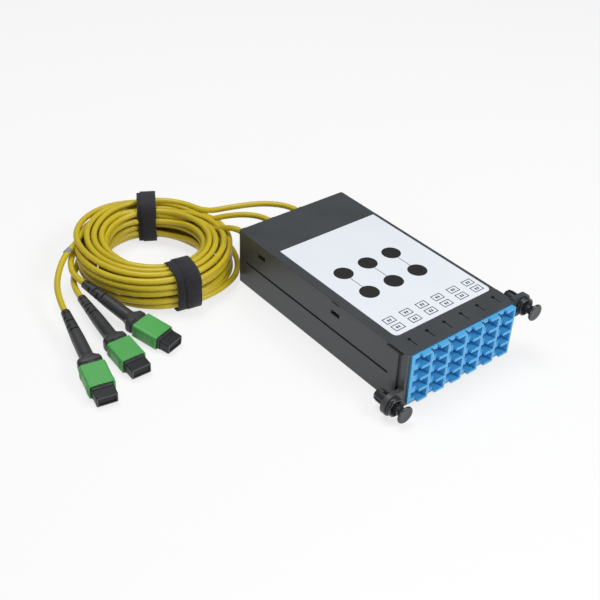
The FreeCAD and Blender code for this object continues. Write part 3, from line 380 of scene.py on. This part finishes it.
def coil_points(key, index):
    """Control points of one cord's turns, from the end of its lead to the start of its tail."""
    start, start_u, start_z = where(LEADS[key][-1])
    end, end_u, end_z = where(TAILS[key][0])
    total = end - start + 2 * math.pi * WHOLE_TURNS
    steps = round(total / (2 * math.pi) * TURN_POINTS)
    points = []
    for i in range(1, steps):
        part = i / steps
        angle = start + total * part
        turn = total * part / (2 * math.pi)
        # the outer turns lie side by side along the outline, the others in a loose layer inside
        inner = min(1.0, max(0.0, (turn - OUTER_TURNS + 0.1) / 0.25))
        inner = inner * inner * (3 - 2 * inner)
        place = (1 - index) * ROUND / 15 * (1 + 1.1 * inner)
        place += (min(turn, OUTER_TURNS) * ROUND / OUTER_TURNS
                  + max(0.0, turn - OUTER_TURNS) * INNER_STEP * ROUND)
        # loose turns wander between the straps, least where the straps hold them
        free = 0.25 + 0.75 * math.sin(angle - LOOSEST) ** 2
        phase = 2.3 * index + 1.7 * math.floor(turn)
        place += free * WANDER * math.sin(phase + 1.3 * angle)
        u, w = outline(place)
        share = 1 - (1 - INNER) * inner
        share *= 0.97 + 0.05 * free * math.sin(1.9 * phase + 2.1 * angle)
        u, z = u * share, SECTION_Z + w * share
        for cord, at, out, height, spread in STRAYS:
            if cord == index:
                pull = math.exp(-((turn - at) / spread) ** 2)
                u += out * pull
                z += (height - z) * pull
        z = max(z, LOWEST)
        first = min(1.0, i / (JOIN_IN * TURN_POINTS))
        last = min(1.0, (steps - i) / (JOIN_OUT * TURN_POINTS))
        u = start_u + (u - start_u) * first
        z = start_z + (z - start_z) * first
        u = end_u + (u - end_u) * last
        z = end_z + (z - end_z) * last
        points.append((COIL_X + (COIL_A + u) * STRETCH * math.cos(angle),
                       COIL_Y + (COIL_B + u) * STRETCH * math.sin(angle), z))
    return points


def cord_line(name, points):
    """Smooth round cord through given control points, in millimetres."""
    data = bpy.data.curves.new(name, "CURVE")
    data.dimensions = "3D"
    data.resolution_u = 6
    data.bevel_depth = CORD_R * MM
    data.bevel_resolution = 5
    data.use_fill_caps = True
    spline = data.splines.new("NURBS")
    spline.points.add(len(points) - 1)
    for control, point in zip(spline.points, points):
        control.co = (*(Vector(point) * MM), 1)
    spline.order_u = 3
    spline.use_endpoint_u = True
    data.materials.append(mats["yellow_jacket"])
    obj = bpy.data.objects.new(name, data)
    bpy.context.collection.objects.link(obj)
    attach(obj, BODY)
    return obj


cords = {}
for index, key in enumerate("abc"):
    points = LEADS[key] + coil_points(key, index) + TAILS[key]
    cords[key] = cord_line("trunk_cord_" + key, points)
    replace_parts(cords[key], "cord_lead_" + key, "cord_tail_" + key, "cord_coil")

# ---- multi-fibre connectors --------------------------------------------------------------------------
# place, yaw and tilt in degrees, and how far the boot's rear end leans sideways
CONNECTORS = {
    "a": ((-129.6, 28.8, 4.5), -100.5, 6.05, 0.0),
    "b": ((-111.0, 36.6, 4.2), -90.4, 3.5, 2.0),
    "c": ((-93.5, 43.5, 4.6), -71.1, 7.2, 4.5),
}
COLLAR_REAR = -11.3
BOOT_L = 34.7
BOOT_SMOOTH_END = -16.0             # rings and flex slots start behind it
BOOT_R_FRONT, BOOT_R_MIDDLE, BOOT_R_REAR = 3.35, 3.1, 2.15
SLOT_PITCH, SLOT_W, SLOT_CORE = 3.0, 0.9, 1.2
CORE_R = 1.5
COLLAR_SIDES = 64
NECK_HALF_W, COLLAR_HALF_W = 3.4, 5.5
COLLAR_SQUARE = 0.62                # how square the widest section is


def stance(key):
    """Place and attitude of a connector, its nose along +X."""
    place, yaw, tilt, _ = CONNECTORS[key]
    return (Matrix.Translation(Vector(place) * MM) @ Matrix.Rotation(math.radians(yaw), 4, "Z")
            @ Matrix.Rotation(math.radians(tilt), 4, "Y"))


def boot(key):
    """Strain relief: smooth front, then rings parted by crosswise flex slots."""
    lean = math.asin(CONNECTORS[key][3] / BOOT_L)
    place = stance(key) @ Matrix.Translation((COLLAR_REAR * MM, 0, 0)) @ Matrix.Rotation(-lean, 4, "Z")

    def radius(x):
        if x > BOOT_SMOOTH_END:
            return BOOT_R_FRONT + (BOOT_R_MIDDLE - BOOT_R_FRONT) * x / BOOT_SMOOTH_END
        return BOOT_R_MIDDLE + ((BOOT_R_REAR - BOOT_R_MIDDLE) * (x - BOOT_SMOOTH_END)
                                / (-BOOT_SMOOTH_END - BOOT_L))

    slots = []
    profile = [(1.2, 0.0), (1.2, 2.8), (0.0, 2.8), (0.0, 3.2), (-0.15, 3.35), (-1.2, 3.33), (-16.0, 3.1)]
    for i in range(4, -1, -1):
        x = -BOOT_L + 2.0 + i * SLOT_PITCH
        slots.append((x, x + SLOT_W, i % 2))
        for station in (x + 1.0, x + 0.901, x + 0.899, x + 0.001, x - 0.001, x - 0.1):
            profile.append((station, radius(station)))
    profile += [(-BOOT_L + 0.15, 2.15), (-BOOT_L, 2.0), (-BOOT_L, 1.5), (-BOOT_L + 1.0, 1.5),
                (-BOOT_L + 1.0, 0.0)]

    def clamp(station, y, z):
        mm = station / MM
        for lo, hi, sideways in slots:
            if lo < mm < hi:
                limit = SLOT_CORE * MM
                if sideways:
                    y = max(-limit, min(limit, y))
                else:
                    z = max(-limit, min(limit, z))
        return y, z

    verts, faces = lathe(scaled(profile), 48, clamp)
    obj = piece("boot_" + key, verts, faces, "boot_rubber", place=place, smooth_angle=30)
    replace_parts(obj, "mpo_boot_" + key)
    verts, faces = lathe(scaled([(-15.5, 0.0), (-15.5, CORE_R), (-BOOT_L + 0.6, CORE_R),
                                 (-BOOT_L + 0.6, 0.0)]), 32)
    core = piece("boot_core_" + key, verts, faces, "yellow_jacket", place=place)
    return obj, core


def collar_cover(key):
    """Smooth shroud that widens from the boot to the collar behind the coupling."""
    place = stance(key)
    count = COLLAR_SIDES
    verts, faces = [], []
    stations = ((-14.3, 0.0, 3.36), (-13.6, 0.08, 3.44), (-12.9, 0.28, 3.50), (-12.2, 0.60, 3.52),
                (-11.6, 0.86, 3.50), (-11.1, 0.97, 3.50), (-10.6, 1.0, 3.50), (-9.3, 1.0, 3.50),
                (-9.0, 0.98, 3.46), (-8.78, 0.96, 3.40))
    for x, wide, half_h in stations:
        for i in range(count):
            angle = 2 * math.pi * i / count
            c, s = math.cos(angle), math.sin(angle)
            power = 1.0 - COLLAR_SQUARE * wide
            half_w = NECK_HALF_W + (COLLAR_HALF_W - NECK_HALF_W) * wide
            y = half_w * math.copysign(abs(c) ** power, c)
            z = half_h * math.copysign(abs(s) ** power, s)
            verts.append((x * MM, y * MM, z * MM))
    rings = len(stations)
    for r in range(rings - 1):
        for i in range(count):
            j = (i + 1) % count
            faces.append((r * count + i, (r + 1) * count + i, (r + 1) * count + j, r * count + j))
    return piece("collar_cover_" + key, verts, faces, "connector_black", place=place, smooth_angle=40)


SPRING_REAR, SPRING_FRONT = -9.3, 0.6
SPRING_R = 0.95                     # middle of the wire
WIRE_R = 0.25
SPRING_TURNS = 9
SPRING_STEPS, WIRE_SIDES = 24, 8


def wound_spring(key):
    """Coil spring behind the ferrule, made at one fixed length, though the real one shortens as the ferrule
    floats back.
    """
    place = stance(key)
    steps, sides = SPRING_TURNS * SPRING_STEPS, WIRE_SIDES
    verts, faces = [], []
    for i in range(steps + 1):
        angle = 2 * math.pi * SPRING_TURNS * i / steps
        x = SPRING_REAR + WIRE_R + (SPRING_FRONT - SPRING_REAR - 2 * WIRE_R) * i / steps
        for j in range(sides):
            turn = 2 * math.pi * j / sides
            r = SPRING_R + WIRE_R * math.cos(turn)
            verts.append(((x + WIRE_R * math.sin(turn)) * MM, r * math.cos(angle) * MM,
                          r * math.sin(angle) * MM))
    for i in range(steps):
        for j in range(sides):
            k = (j + 1) % sides
            faces.append((i * sides + j, i * sides + k, (i + 1) * sides + k, (i + 1) * sides + j))
    faces += [list(range(sides - 1, -1, -1)), list(range(steps * sides, (steps + 1) * sides))]
    obj = piece("spring_" + key, verts, faces, "spring_steel", body=None, place=place, smooth_angle=60)
    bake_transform(obj)
    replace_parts(obj, "mpo_spring_" + key)


boots = {key: (*boot(key), collar_cover(key)) for key in "abc"}
for key in "abc":
    wound_spring(key)

# ---- glands ------------------------------------------------------------------------------------------
for key, (x, _, z) in EXITS.items():
    profile = softened([(57.4, 1.6), (57.4, 3.0), (58.4, 3.0), (58.4, 2.5), (60.0, 2.5), (60.0, 3.0),
                        (60.9, 3.0), (60.9, 2.75), (61.4, 2.72), (61.4, 2.85), (62.0, 2.8), (63.0, 2.5),
                        (63.0, 1.6)])
    verts, faces = lathe(scaled(profile), 48)
    gland = piece("gland_" + key, verts, faces, "gland_rubber", place=axis_y(x, z))
    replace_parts(gland, "cord_gland_" + key)

# ---- fasteners ---------------------------------------------------------------------------------------
FASTENERS = {"left": (-38.5, 5.6), "right": (38.5, 25.2)}
EAR_FACE, EAR_T, BARREL_L = -60.0, 2.4, 7.0
SLIT_HALF, SLIT_REACH = 0.45, 4.6
SLIT_L, CROSS_SLIT_L = 5.2, 5.201   # unequal, so that the two cutters share no face
HEAD_FACE = -68.0
for side, (x, z) in FASTENERS.items():
    rear = EAR_FACE + EAR_T + BARREL_L
    profile = softened([(rear, 2.28), (rear, 2.75), (rear - 1.8, 3.2), (-60.0, 3.2), (-60.0, 4.4),
                        (-61.2, 4.4), (-61.2, 3.9), (-61.7, 3.9), (-61.7, 4.3), (-62.6, 4.3), (-62.6, 3.78),
                        (-60.6, 2.28)])
    verts, faces = lathe(scaled(profile), 64)
    grommet = piece("grommet_body_" + side, verts, faces, "fastener_black", place=axis_y(x, z))
    cut_by_boxes(grommet, [
        ((x - SLIT_HALF, rear - SLIT_L, z - SLIT_REACH), (x + SLIT_HALF, rear + 1, z + SLIT_REACH)),
        ((x - SLIT_REACH, rear - CROSS_SLIT_L, z - SLIT_HALF), (x + SLIT_REACH, rear + 1.01, z + SLIT_HALF)),
    ])
    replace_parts(grommet, "grommet_" + side)
    face = HEAD_FACE
    profile = [(face + 0.12, 0.0), (face + 0.10, 1.2), (face + 0.02, 2.6), (face, 3.6), (face + 0.08, 3.95),
               (face + 0.30, 4.13), (face + 0.70, 4.15), (face + 0.92, 4.05), (face + 1.0, 3.8),
               (face + 1.05, 3.4), (face + 1.5, 2.95), (face + 2.1, 2.5), (face + 2.7, 2.27),
               (face + 3.2, 2.2), (-60.75, 2.2), (-60.6, 2.05), (-60.6, 0.0)]
    verts, faces = lathe(scaled(profile), 64)
    plunger = piece("plunger_pin_" + side, verts, faces, "fastener_black", body="plunger_" + side,
                    place=axis_y(x, z))
    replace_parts(plunger, "plunger_" + side)


# ---- hook-and-loop straps ----------------------------------------------------------------------------
LOOP_LOW, LOOP_HIGH, LOOP_HALF_W = 0.6, 22.2, 9.5
STRAP_STEPS = 160
BAND_HALF_W, BAND_HALF_T = 4.0, 0.5


def strap(name, degrees, start, end, inner_shift, outer_shift, tail, power, node):
    """Band wound round the winding, whose second layer lies on the first and a little to one side.

    start and end are its angles round the section, 0 at the outer wall and 90 on top; tail is the
    share of its width that the loose end keeps; the lower the power, the squarer the loop.
    """
    t = math.radians(degrees)
    middle = Vector((COIL_X + COIL_A * math.cos(t), COIL_Y + COIL_B * math.sin(t), 0))
    across = Vector((COIL_B * math.cos(t), COIL_A * math.sin(t), 0)).normalized()
    along = Vector((-across.y, across.x, 0))
    mid_z = (LOOP_LOW + LOOP_HIGH) / 2
    half_h = (LOOP_HIGH - LOOP_LOW) / 2
    steps = STRAP_STEPS
    sweep = end - start
    stations = []
    for i in range(steps + 1):
        part = i / steps
        turned_by = abs(sweep) * part
        angle = math.radians(start + sweep * part)
        layer = min(1.0, max(0.0, (turned_by - 330.0) / 45.0))
        layer = layer * layer * (3 - 2 * layer)
        c, s = math.cos(angle), math.sin(angle)
        u = math.copysign(abs(c) ** power, c)
        w = math.copysign(abs(s) ** power, s)
        grow = 1.0 * layer + 0.10 * math.sin(4.0 * angle + degrees)
        lift = 0.35 if s > 0 else 0.0
        stations.append(((LOOP_HALF_W + grow) * u, mid_z + (half_h + lift * layer) * w,
                         inner_shift + (outer_shift - inner_shift) * layer))
    thick = BAND_HALF_T
    verts, faces = [], []
    for i, (u, w, shift) in enumerate(stations):
        before = stations[max(i - 1, 0)]
        after = stations[min(i + 1, steps)]
        run = Vector((after[0] - before[0], after[1] - before[1])).normalized()
        out = Vector((run.y, -run.x)) * (1 if sweep > 0 else -1)
        narrow = BAND_HALF_W * (1 - (1 - tail) * min(1.0, max(0.0, (i / steps - 0.90) / 0.012)))
        fray = 0.05 * math.sin(i * 1.9) + 0.04 * math.sin(i * 4.3 + 1.0)
        section = [(-narrow - fray, -thick), (-narrow * 0.98, -thick * 1.15), (narrow * 0.98, -thick * 1.15),
                   (narrow + fray, -thick), (narrow + fray, thick * 0.8), (narrow * 0.95, thick * 1.15),
                   (-narrow * 0.95, thick * 1.15), (-narrow - fray, thick * 0.8)]
        for a, b in section:
            q = middle + across * (u + out.x * b) + along * (shift + a) + Vector((0, 0, 1)) * (w + out.y * b)
            q.z = max(q.z, 0.02)
            verts.append(q * MM)
    n = len(section)
    for i in range(steps):
        for j in range(n):
            k = (j + 1) % n
            faces.append((i * n + j, i * n + k, (i + 1) * n + k, (i + 1) * n + j))
    faces.append(list(range(n - 1, -1, -1)))
    faces.append([steps * n + j for j in range(n)])
    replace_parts(piece(name, verts, faces, "hook_and_loop", smooth_angle=50), node)


strap("strap_band_rear", 63.0, -100, 592, 1.0, -0.8, 0.88, 0.47, "strap_rear")
strap("strap_band_front", 261.0, 150, -398, -1.8, 2.0, 0.9, 0.64, "strap_front")

# ---- print on the label: outlined fields and discs, without lettering ----------------------------------
COVER_TOP, LABEL_TOP = 29.6, 29.75
PRINT_T, PRINT_SUNK = 0.03, 0.02
# centre, radius and first angle of the sheet's corners: front right, rear right, rear left, front left
LABEL_CORNERS = ((28.32, -45.06, 2.5, 270), (30.42, 32.26, 0.4, 0), (-27.95, 32.26, 0.4, 90),
                 (-25.85, -45.06, 2.5, 180))
CORNER_STEPS = 8
FIELD_X, FIELD_Y = (-22.8, -12.9, -3.2, 6.4, 16.1, 25.8), (-37.6, -43.2)
DISC_X, DISC_Y, DISC_R = (-15.7, -0.9, 14.0), (1.1, -16.8), 4.7


def flat_ring(verts, faces, outer, inner):
    """Raised flat ring between two outlines of the same number of points; a None inner fills it."""
    n = len(outer)
    base = len(verts)
    top = (LABEL_TOP + PRINT_T) * MM
    low = (LABEL_TOP - PRINT_SUNK) * MM
    for x, y in outer:
        verts.append((x * MM, y * MM, top))
    for x, y in outer:
        verts.append((x * MM, y * MM, low))
    for i in range(n):
        j = (i + 1) % n
        faces.append((base + j, base + i, base + n + i, base + n + j))
    if inner is None:
        faces.append([base + i for i in range(n)])
        return
    for x, y in inner:
        verts.append((x * MM, y * MM, top))
    for i in range(n):
        j = (i + 1) % n
        faces.append((base + i, base + j, base + 2 * n + j, base + 2 * n + i))


def rectangle(x0, x1, y0, y1):
    return [(x0, y0), (x1, y0), (x1, y1), (x0, y1)]


def disc(x, y, radius, count=48):
    return [(x + radius * math.cos(2 * math.pi * i / count), y + radius * math.sin(2 * math.pi * i / count))
            for i in range(count)]


sheet = []
for cx, cy, r, start in LABEL_CORNERS:
    for k in range(CORNER_STEPS + 1):
        angle = math.radians(start + 90 * k / CORNER_STEPS)
        sheet.append((cx + r * math.cos(angle), cy + r * math.sin(angle)))
count = len(sheet)
verts = [(x * MM, y * MM, z * MM) for z in (COVER_TOP, LABEL_TOP) for x, y in sheet]
faces = [(i, (i + 1) % count, count + (i + 1) % count, count + i) for i in range(count)]
faces += [list(range(count - 1, -1, -1)), list(range(count, 2 * count))]
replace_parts(piece("label_sheet", verts, faces, "label_film"), "label")
verts, faces = [], []
for x in FIELD_X:
    for y in FIELD_Y:
        flat_ring(verts, faces, rectangle(x - 2.8, x + 2.8, y - 2.0, y + 2.0),
                  rectangle(x - 2.4, x + 2.4, y - 1.6, y + 1.6))
        flat_ring(verts, faces, rectangle(x - 1.0, x - 0.2, y - 0.7, y + 0.7), None)
        flat_ring(verts, faces, rectangle(x + 0.3, x + 1.0, y - 0.7, y + 0.7), None)
for x in DISC_X:
    for y in DISC_Y:
        flat_ring(verts, faces, disc(x, y, DISC_R), None)
    flat_ring(verts, faces, rectangle(x - 0.15, x + 0.15, -12.1, -3.6), None)
piece("label_print", verts, faces, "label_film", mat="print_ink_and_painted_shade")

# ---- painted shade: a dark strip under the cover's keyholes, so that they read as deep -------------------
verts, faces = [], []
add_box(verts, faces, (-34.0, -57.5, 28.62), (34.0, -48.0, 28.68))
piece("keyhole_painted_shade", verts, faces, "black_plastic", mat="print_ink_and_painted_shade")

# ---- grey marker on the outermost tail --------------------------------------------------------------------
MARKER_AT = 0.75                    # share of the tail's first run
first, second = (Vector(point) for point in TAILS["a"][:2])
way = (second - first).normalized()
middle = first.lerp(second, MARKER_AT)
verts, faces = lathe(scaled([(-1.9, 1.4), (-1.7, 1.6), (1.7, 1.6), (1.9, 1.4)]), 32)
piece("tail_marker", verts, faces, "yellow_jacket", mat="grey_marker",
      place=Matrix.Translation(middle * MM) @ way.to_track_quat("X", "Z").to_matrix().to_4x4())

# ---- adapters: painted highlights as bright edges and painted shade as dark corner notches where two columns meet ---
COLUMN_JOINTS = (-20.6, -10.3, 0.0, 10.3, 20.6)
verts, faces = [], []
notch_verts, notch_faces = [], []
for boundary in COLUMN_JOINTS:
    # painted highlight along each joint, and painted shade in the joint's top corner
    add_box(verts, faces, (boundary - 0.17, -62.74, 4.6), (boundary + 0.17, -62.6, 27.8))
    add_box(notch_verts, notch_faces, (boundary - 0.45, -62.72, 27.75), (boundary + 0.3, -61.2, 28.62))
piece("column_painted_highlights", verts, faces, "adapter_blue", mat="adapter_painted_highlight")
piece("column_notch_painted_shade", notch_verts, notch_faces, "adapter_blue", mat="print_ink_and_painted_shade")


# ---- dust caps: full nose width outside, with a dish in the face, its floor painted shade and its rim a painted highlight ---
def bar_loop(x, w, h, r, steps=5):
    """Rounded rectangle across the X axis, counterclockwise seen from the front."""
    loop = []
    for cy, cz, start in ((w / 2 - r, h / 2 - r, 0), (r - w / 2, h / 2 - r, 90), (r - w / 2, r - h / 2, 180),
                          (w / 2 - r, r - h / 2, 270)):
        for k in range(steps + 1):
            angle = math.radians(start + 90 * k / steps)
            loop.append((x * MM, (cy + r * math.cos(angle)) * MM, (cz + r * math.sin(angle)) * MM))
    return loop


def bar_skin(stations, closed=False):
    """Vertices, faces and points per loop of a skin over rounded rectangles, closed end to end if asked."""
    verts = [v for station in stations for v in bar_loop(*station)]
    rings = len(stations)
    n = len(verts) // rings
    faces = [(r * n + i, (r + 1) % rings * n + i, (r + 1) % rings * n + (i + 1) % n, r * n + (i + 1) % n)
             for r in range(rings if closed else rings - 1) for i in range(n)]
    return verts, faces, n


# station, width, height and corner radius, from inside the cap over its rear edge to the dish
CAP = [(10.45, 7.1, 3.2, 0.2), (3.3, 7.1, 3.2, 0.2), (3.3, 8.2, 4.2, 0.4), (3.6, 8.6, 4.6, 0.5),
       (8.34, 8.6, 4.6, 0.5), (8.36, 9.3, 5.1, 0.5), (8.6, 9.7, 5.4, 0.6), (13.25, 9.6, 5.3, 0.6),
       (13.6, 9.3, 5.0, 0.5), (13.6, 7.9, 3.6, 0.3), (13.0, 7.7, 3.4, 0.3)]
CAP_RIM_HIGHLIGHT = [(13.5, 9.2, 4.9, 0.5), (13.64, 9.2, 4.9, 0.5), (13.64, 8.2, 3.9, 0.3), (13.5, 8.2, 3.9, 0.3)]
RIB_X = (-5.7, -4.9, -4.1, 4.1, 4.9, 5.7)
for key in "abc":
    verts, faces, n = bar_skin(CAP)
    faces.append(list(range(n)))
    faces.append(list(range(len(verts) - 1, len(verts) - n - 1, -1)))
    cap = piece("cap_" + key, verts, faces, "dust_cap", body="dust_cap_" + key, place=stance(key),
                smooth_angle=8)
    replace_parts(cap, "mpo_dust_cap_" + key)
    verts, faces = [], []
    # painted shade: a dark plate on the dish's floor
    add_box(verts, faces, (12.95, -3.6, -1.45), (13.03, 3.6, 1.45))
    piece("cap_dish_shade_" + key, verts, faces, "dust_cap", body="dust_cap_" + key, place=stance(key),
          mat="print_ink_and_painted_shade")
    # painted highlight: a lighter ring, just proud of the face, round the dish
    verts, faces, _ = bar_skin(CAP_RIM_HIGHLIGHT, closed=True)
    piece("cap_rim_highlight_" + key, verts, faces, "dust_cap", body="dust_cap_" + key, place=stance(key),
          mat="cap_painted_highlight")
    verts, faces = [], []
    for x in RIB_X:
        for side in (-1, 1):
            lo, hi = sorted((side * 5.9, side * 6.16))
            add_box(verts, faces, (x - 0.2, lo, -2.5), (x + 0.2, hi, 2.5))
    piece("grip_ribs_" + key, verts, faces, "coupling_green", body="coupling_" + key, place=stance(key))


# ---- floor, lamps and world ----------------------------------------------------------------------------
FLOOR_WHITE = 0.75                  # share of plain white that the camera sees, the rest keeps the shadow
WORLD_LIGHT = 0.20


def floor_material():
    """Pale floor: plain and matt for the light, and three quarters of the way to white for the camera."""
    mat = bpy.data.materials.new("floor")
    mat.use_nodes = True
    tree = mat.node_tree
    tree.nodes.clear()
    out = tree.nodes.new("ShaderNodeOutputMaterial")
    mix = tree.nodes.new("ShaderNodeMixShader")
    matt = tree.nodes.new("ShaderNodeBsdfDiffuse")
    matt.inputs["Color"].default_value = (0.86, 0.86, 0.86, 1)
    glow = tree.nodes.new("ShaderNodeEmission")
    glow.inputs["Strength"].default_value = 1.0
    rays = tree.nodes.new("ShaderNodeLightPath")
    seen = tree.nodes.new("ShaderNodeMath")
    seen.operation = "MAXIMUM"
    tree.links.new(rays.outputs["Is Camera Ray"], seen.inputs[0])
    tree.links.new(rays.outputs["Is Glossy Ray"], seen.inputs[1])
    through = tree.nodes.new("ShaderNodeMath")
    through.operation = "MAXIMUM"
    tree.links.new(seen.outputs["Value"], through.inputs[0])
    tree.links.new(rays.outputs["Is Transmission Ray"], through.inputs[1])
    share = tree.nodes.new("ShaderNodeMath")
    share.operation = "MULTIPLY"
    share.inputs[1].default_value = FLOOR_WHITE
    tree.links.new(through.outputs["Value"], share.inputs[0])
    tree.links.new(share.outputs["Value"], mix.inputs[0])
    tree.links.new(matt.outputs["BSDF"], mix.inputs[1])
    tree.links.new(glow.outputs["Emission"], mix.inputs[2])
    tree.links.new(mix.outputs["Shader"], out.inputs["Surface"])
    return mat


bpy.ops.mesh.primitive_plane_add(size=8.0, location=(0, 0, -0.0003))
floor = bpy.context.object
floor.name = "floor"
floor.data.materials.append(floor_material())

world = bpy.data.worlds.new("studio")
bpy.context.scene.world = world
world.use_nodes = True
tree = world.node_tree
tree.nodes.clear()
world_out = tree.nodes.new("ShaderNodeOutputWorld")
rays = tree.nodes.new("ShaderNodeLightPath")
plain = tree.nodes.new("ShaderNodeBackground")
plain.inputs["Color"].default_value = (1, 1, 1, 1)
plain.inputs["Strength"].default_value = WORLD_LIGHT
white = tree.nodes.new("ShaderNodeBackground")
white.inputs["Color"].default_value = (1, 1, 1, 1)
white.inputs["Strength"].default_value = 1.0
choose = tree.nodes.new("ShaderNodeMixShader")
tree.links.new(rays.outputs["Is Camera Ray"], choose.inputs[0])
tree.links.new(plain.outputs["Background"], choose.inputs[1])
tree.links.new(white.outputs["Background"], choose.inputs[2])
tree.links.new(choose.outputs["Shader"], world_out.inputs["Surface"])


def lamp(name, place, aim, size, power):
    data = bpy.data.lights.new(name, "AREA")
    data.shape = "SQUARE"
    data.size = size
    data.energy = power
    obj = bpy.data.objects.new(name, data)
    bpy.context.collection.objects.link(obj)
    obj.location = place
    obj.rotation_mode = "QUATERNION"
    obj.rotation_quaternion = (Vector(aim) - Vector(place)).to_track_quat("-Z", "Y")


lamp("key", (0.35, -0.75, 0.75), (0.0, 0.0, 0.02), 0.4, 6.1)
lamp("top", (-0.1, 0.25, 1.1), (-0.03, 0.04, 0.0), 0.55, 6.6)
lamp("side", (-0.22, -0.34, 0.12), (-0.03, -0.05, 0.015), 0.12, 0.28)

bpy.context.scene.view_settings.view_transform = "Standard"
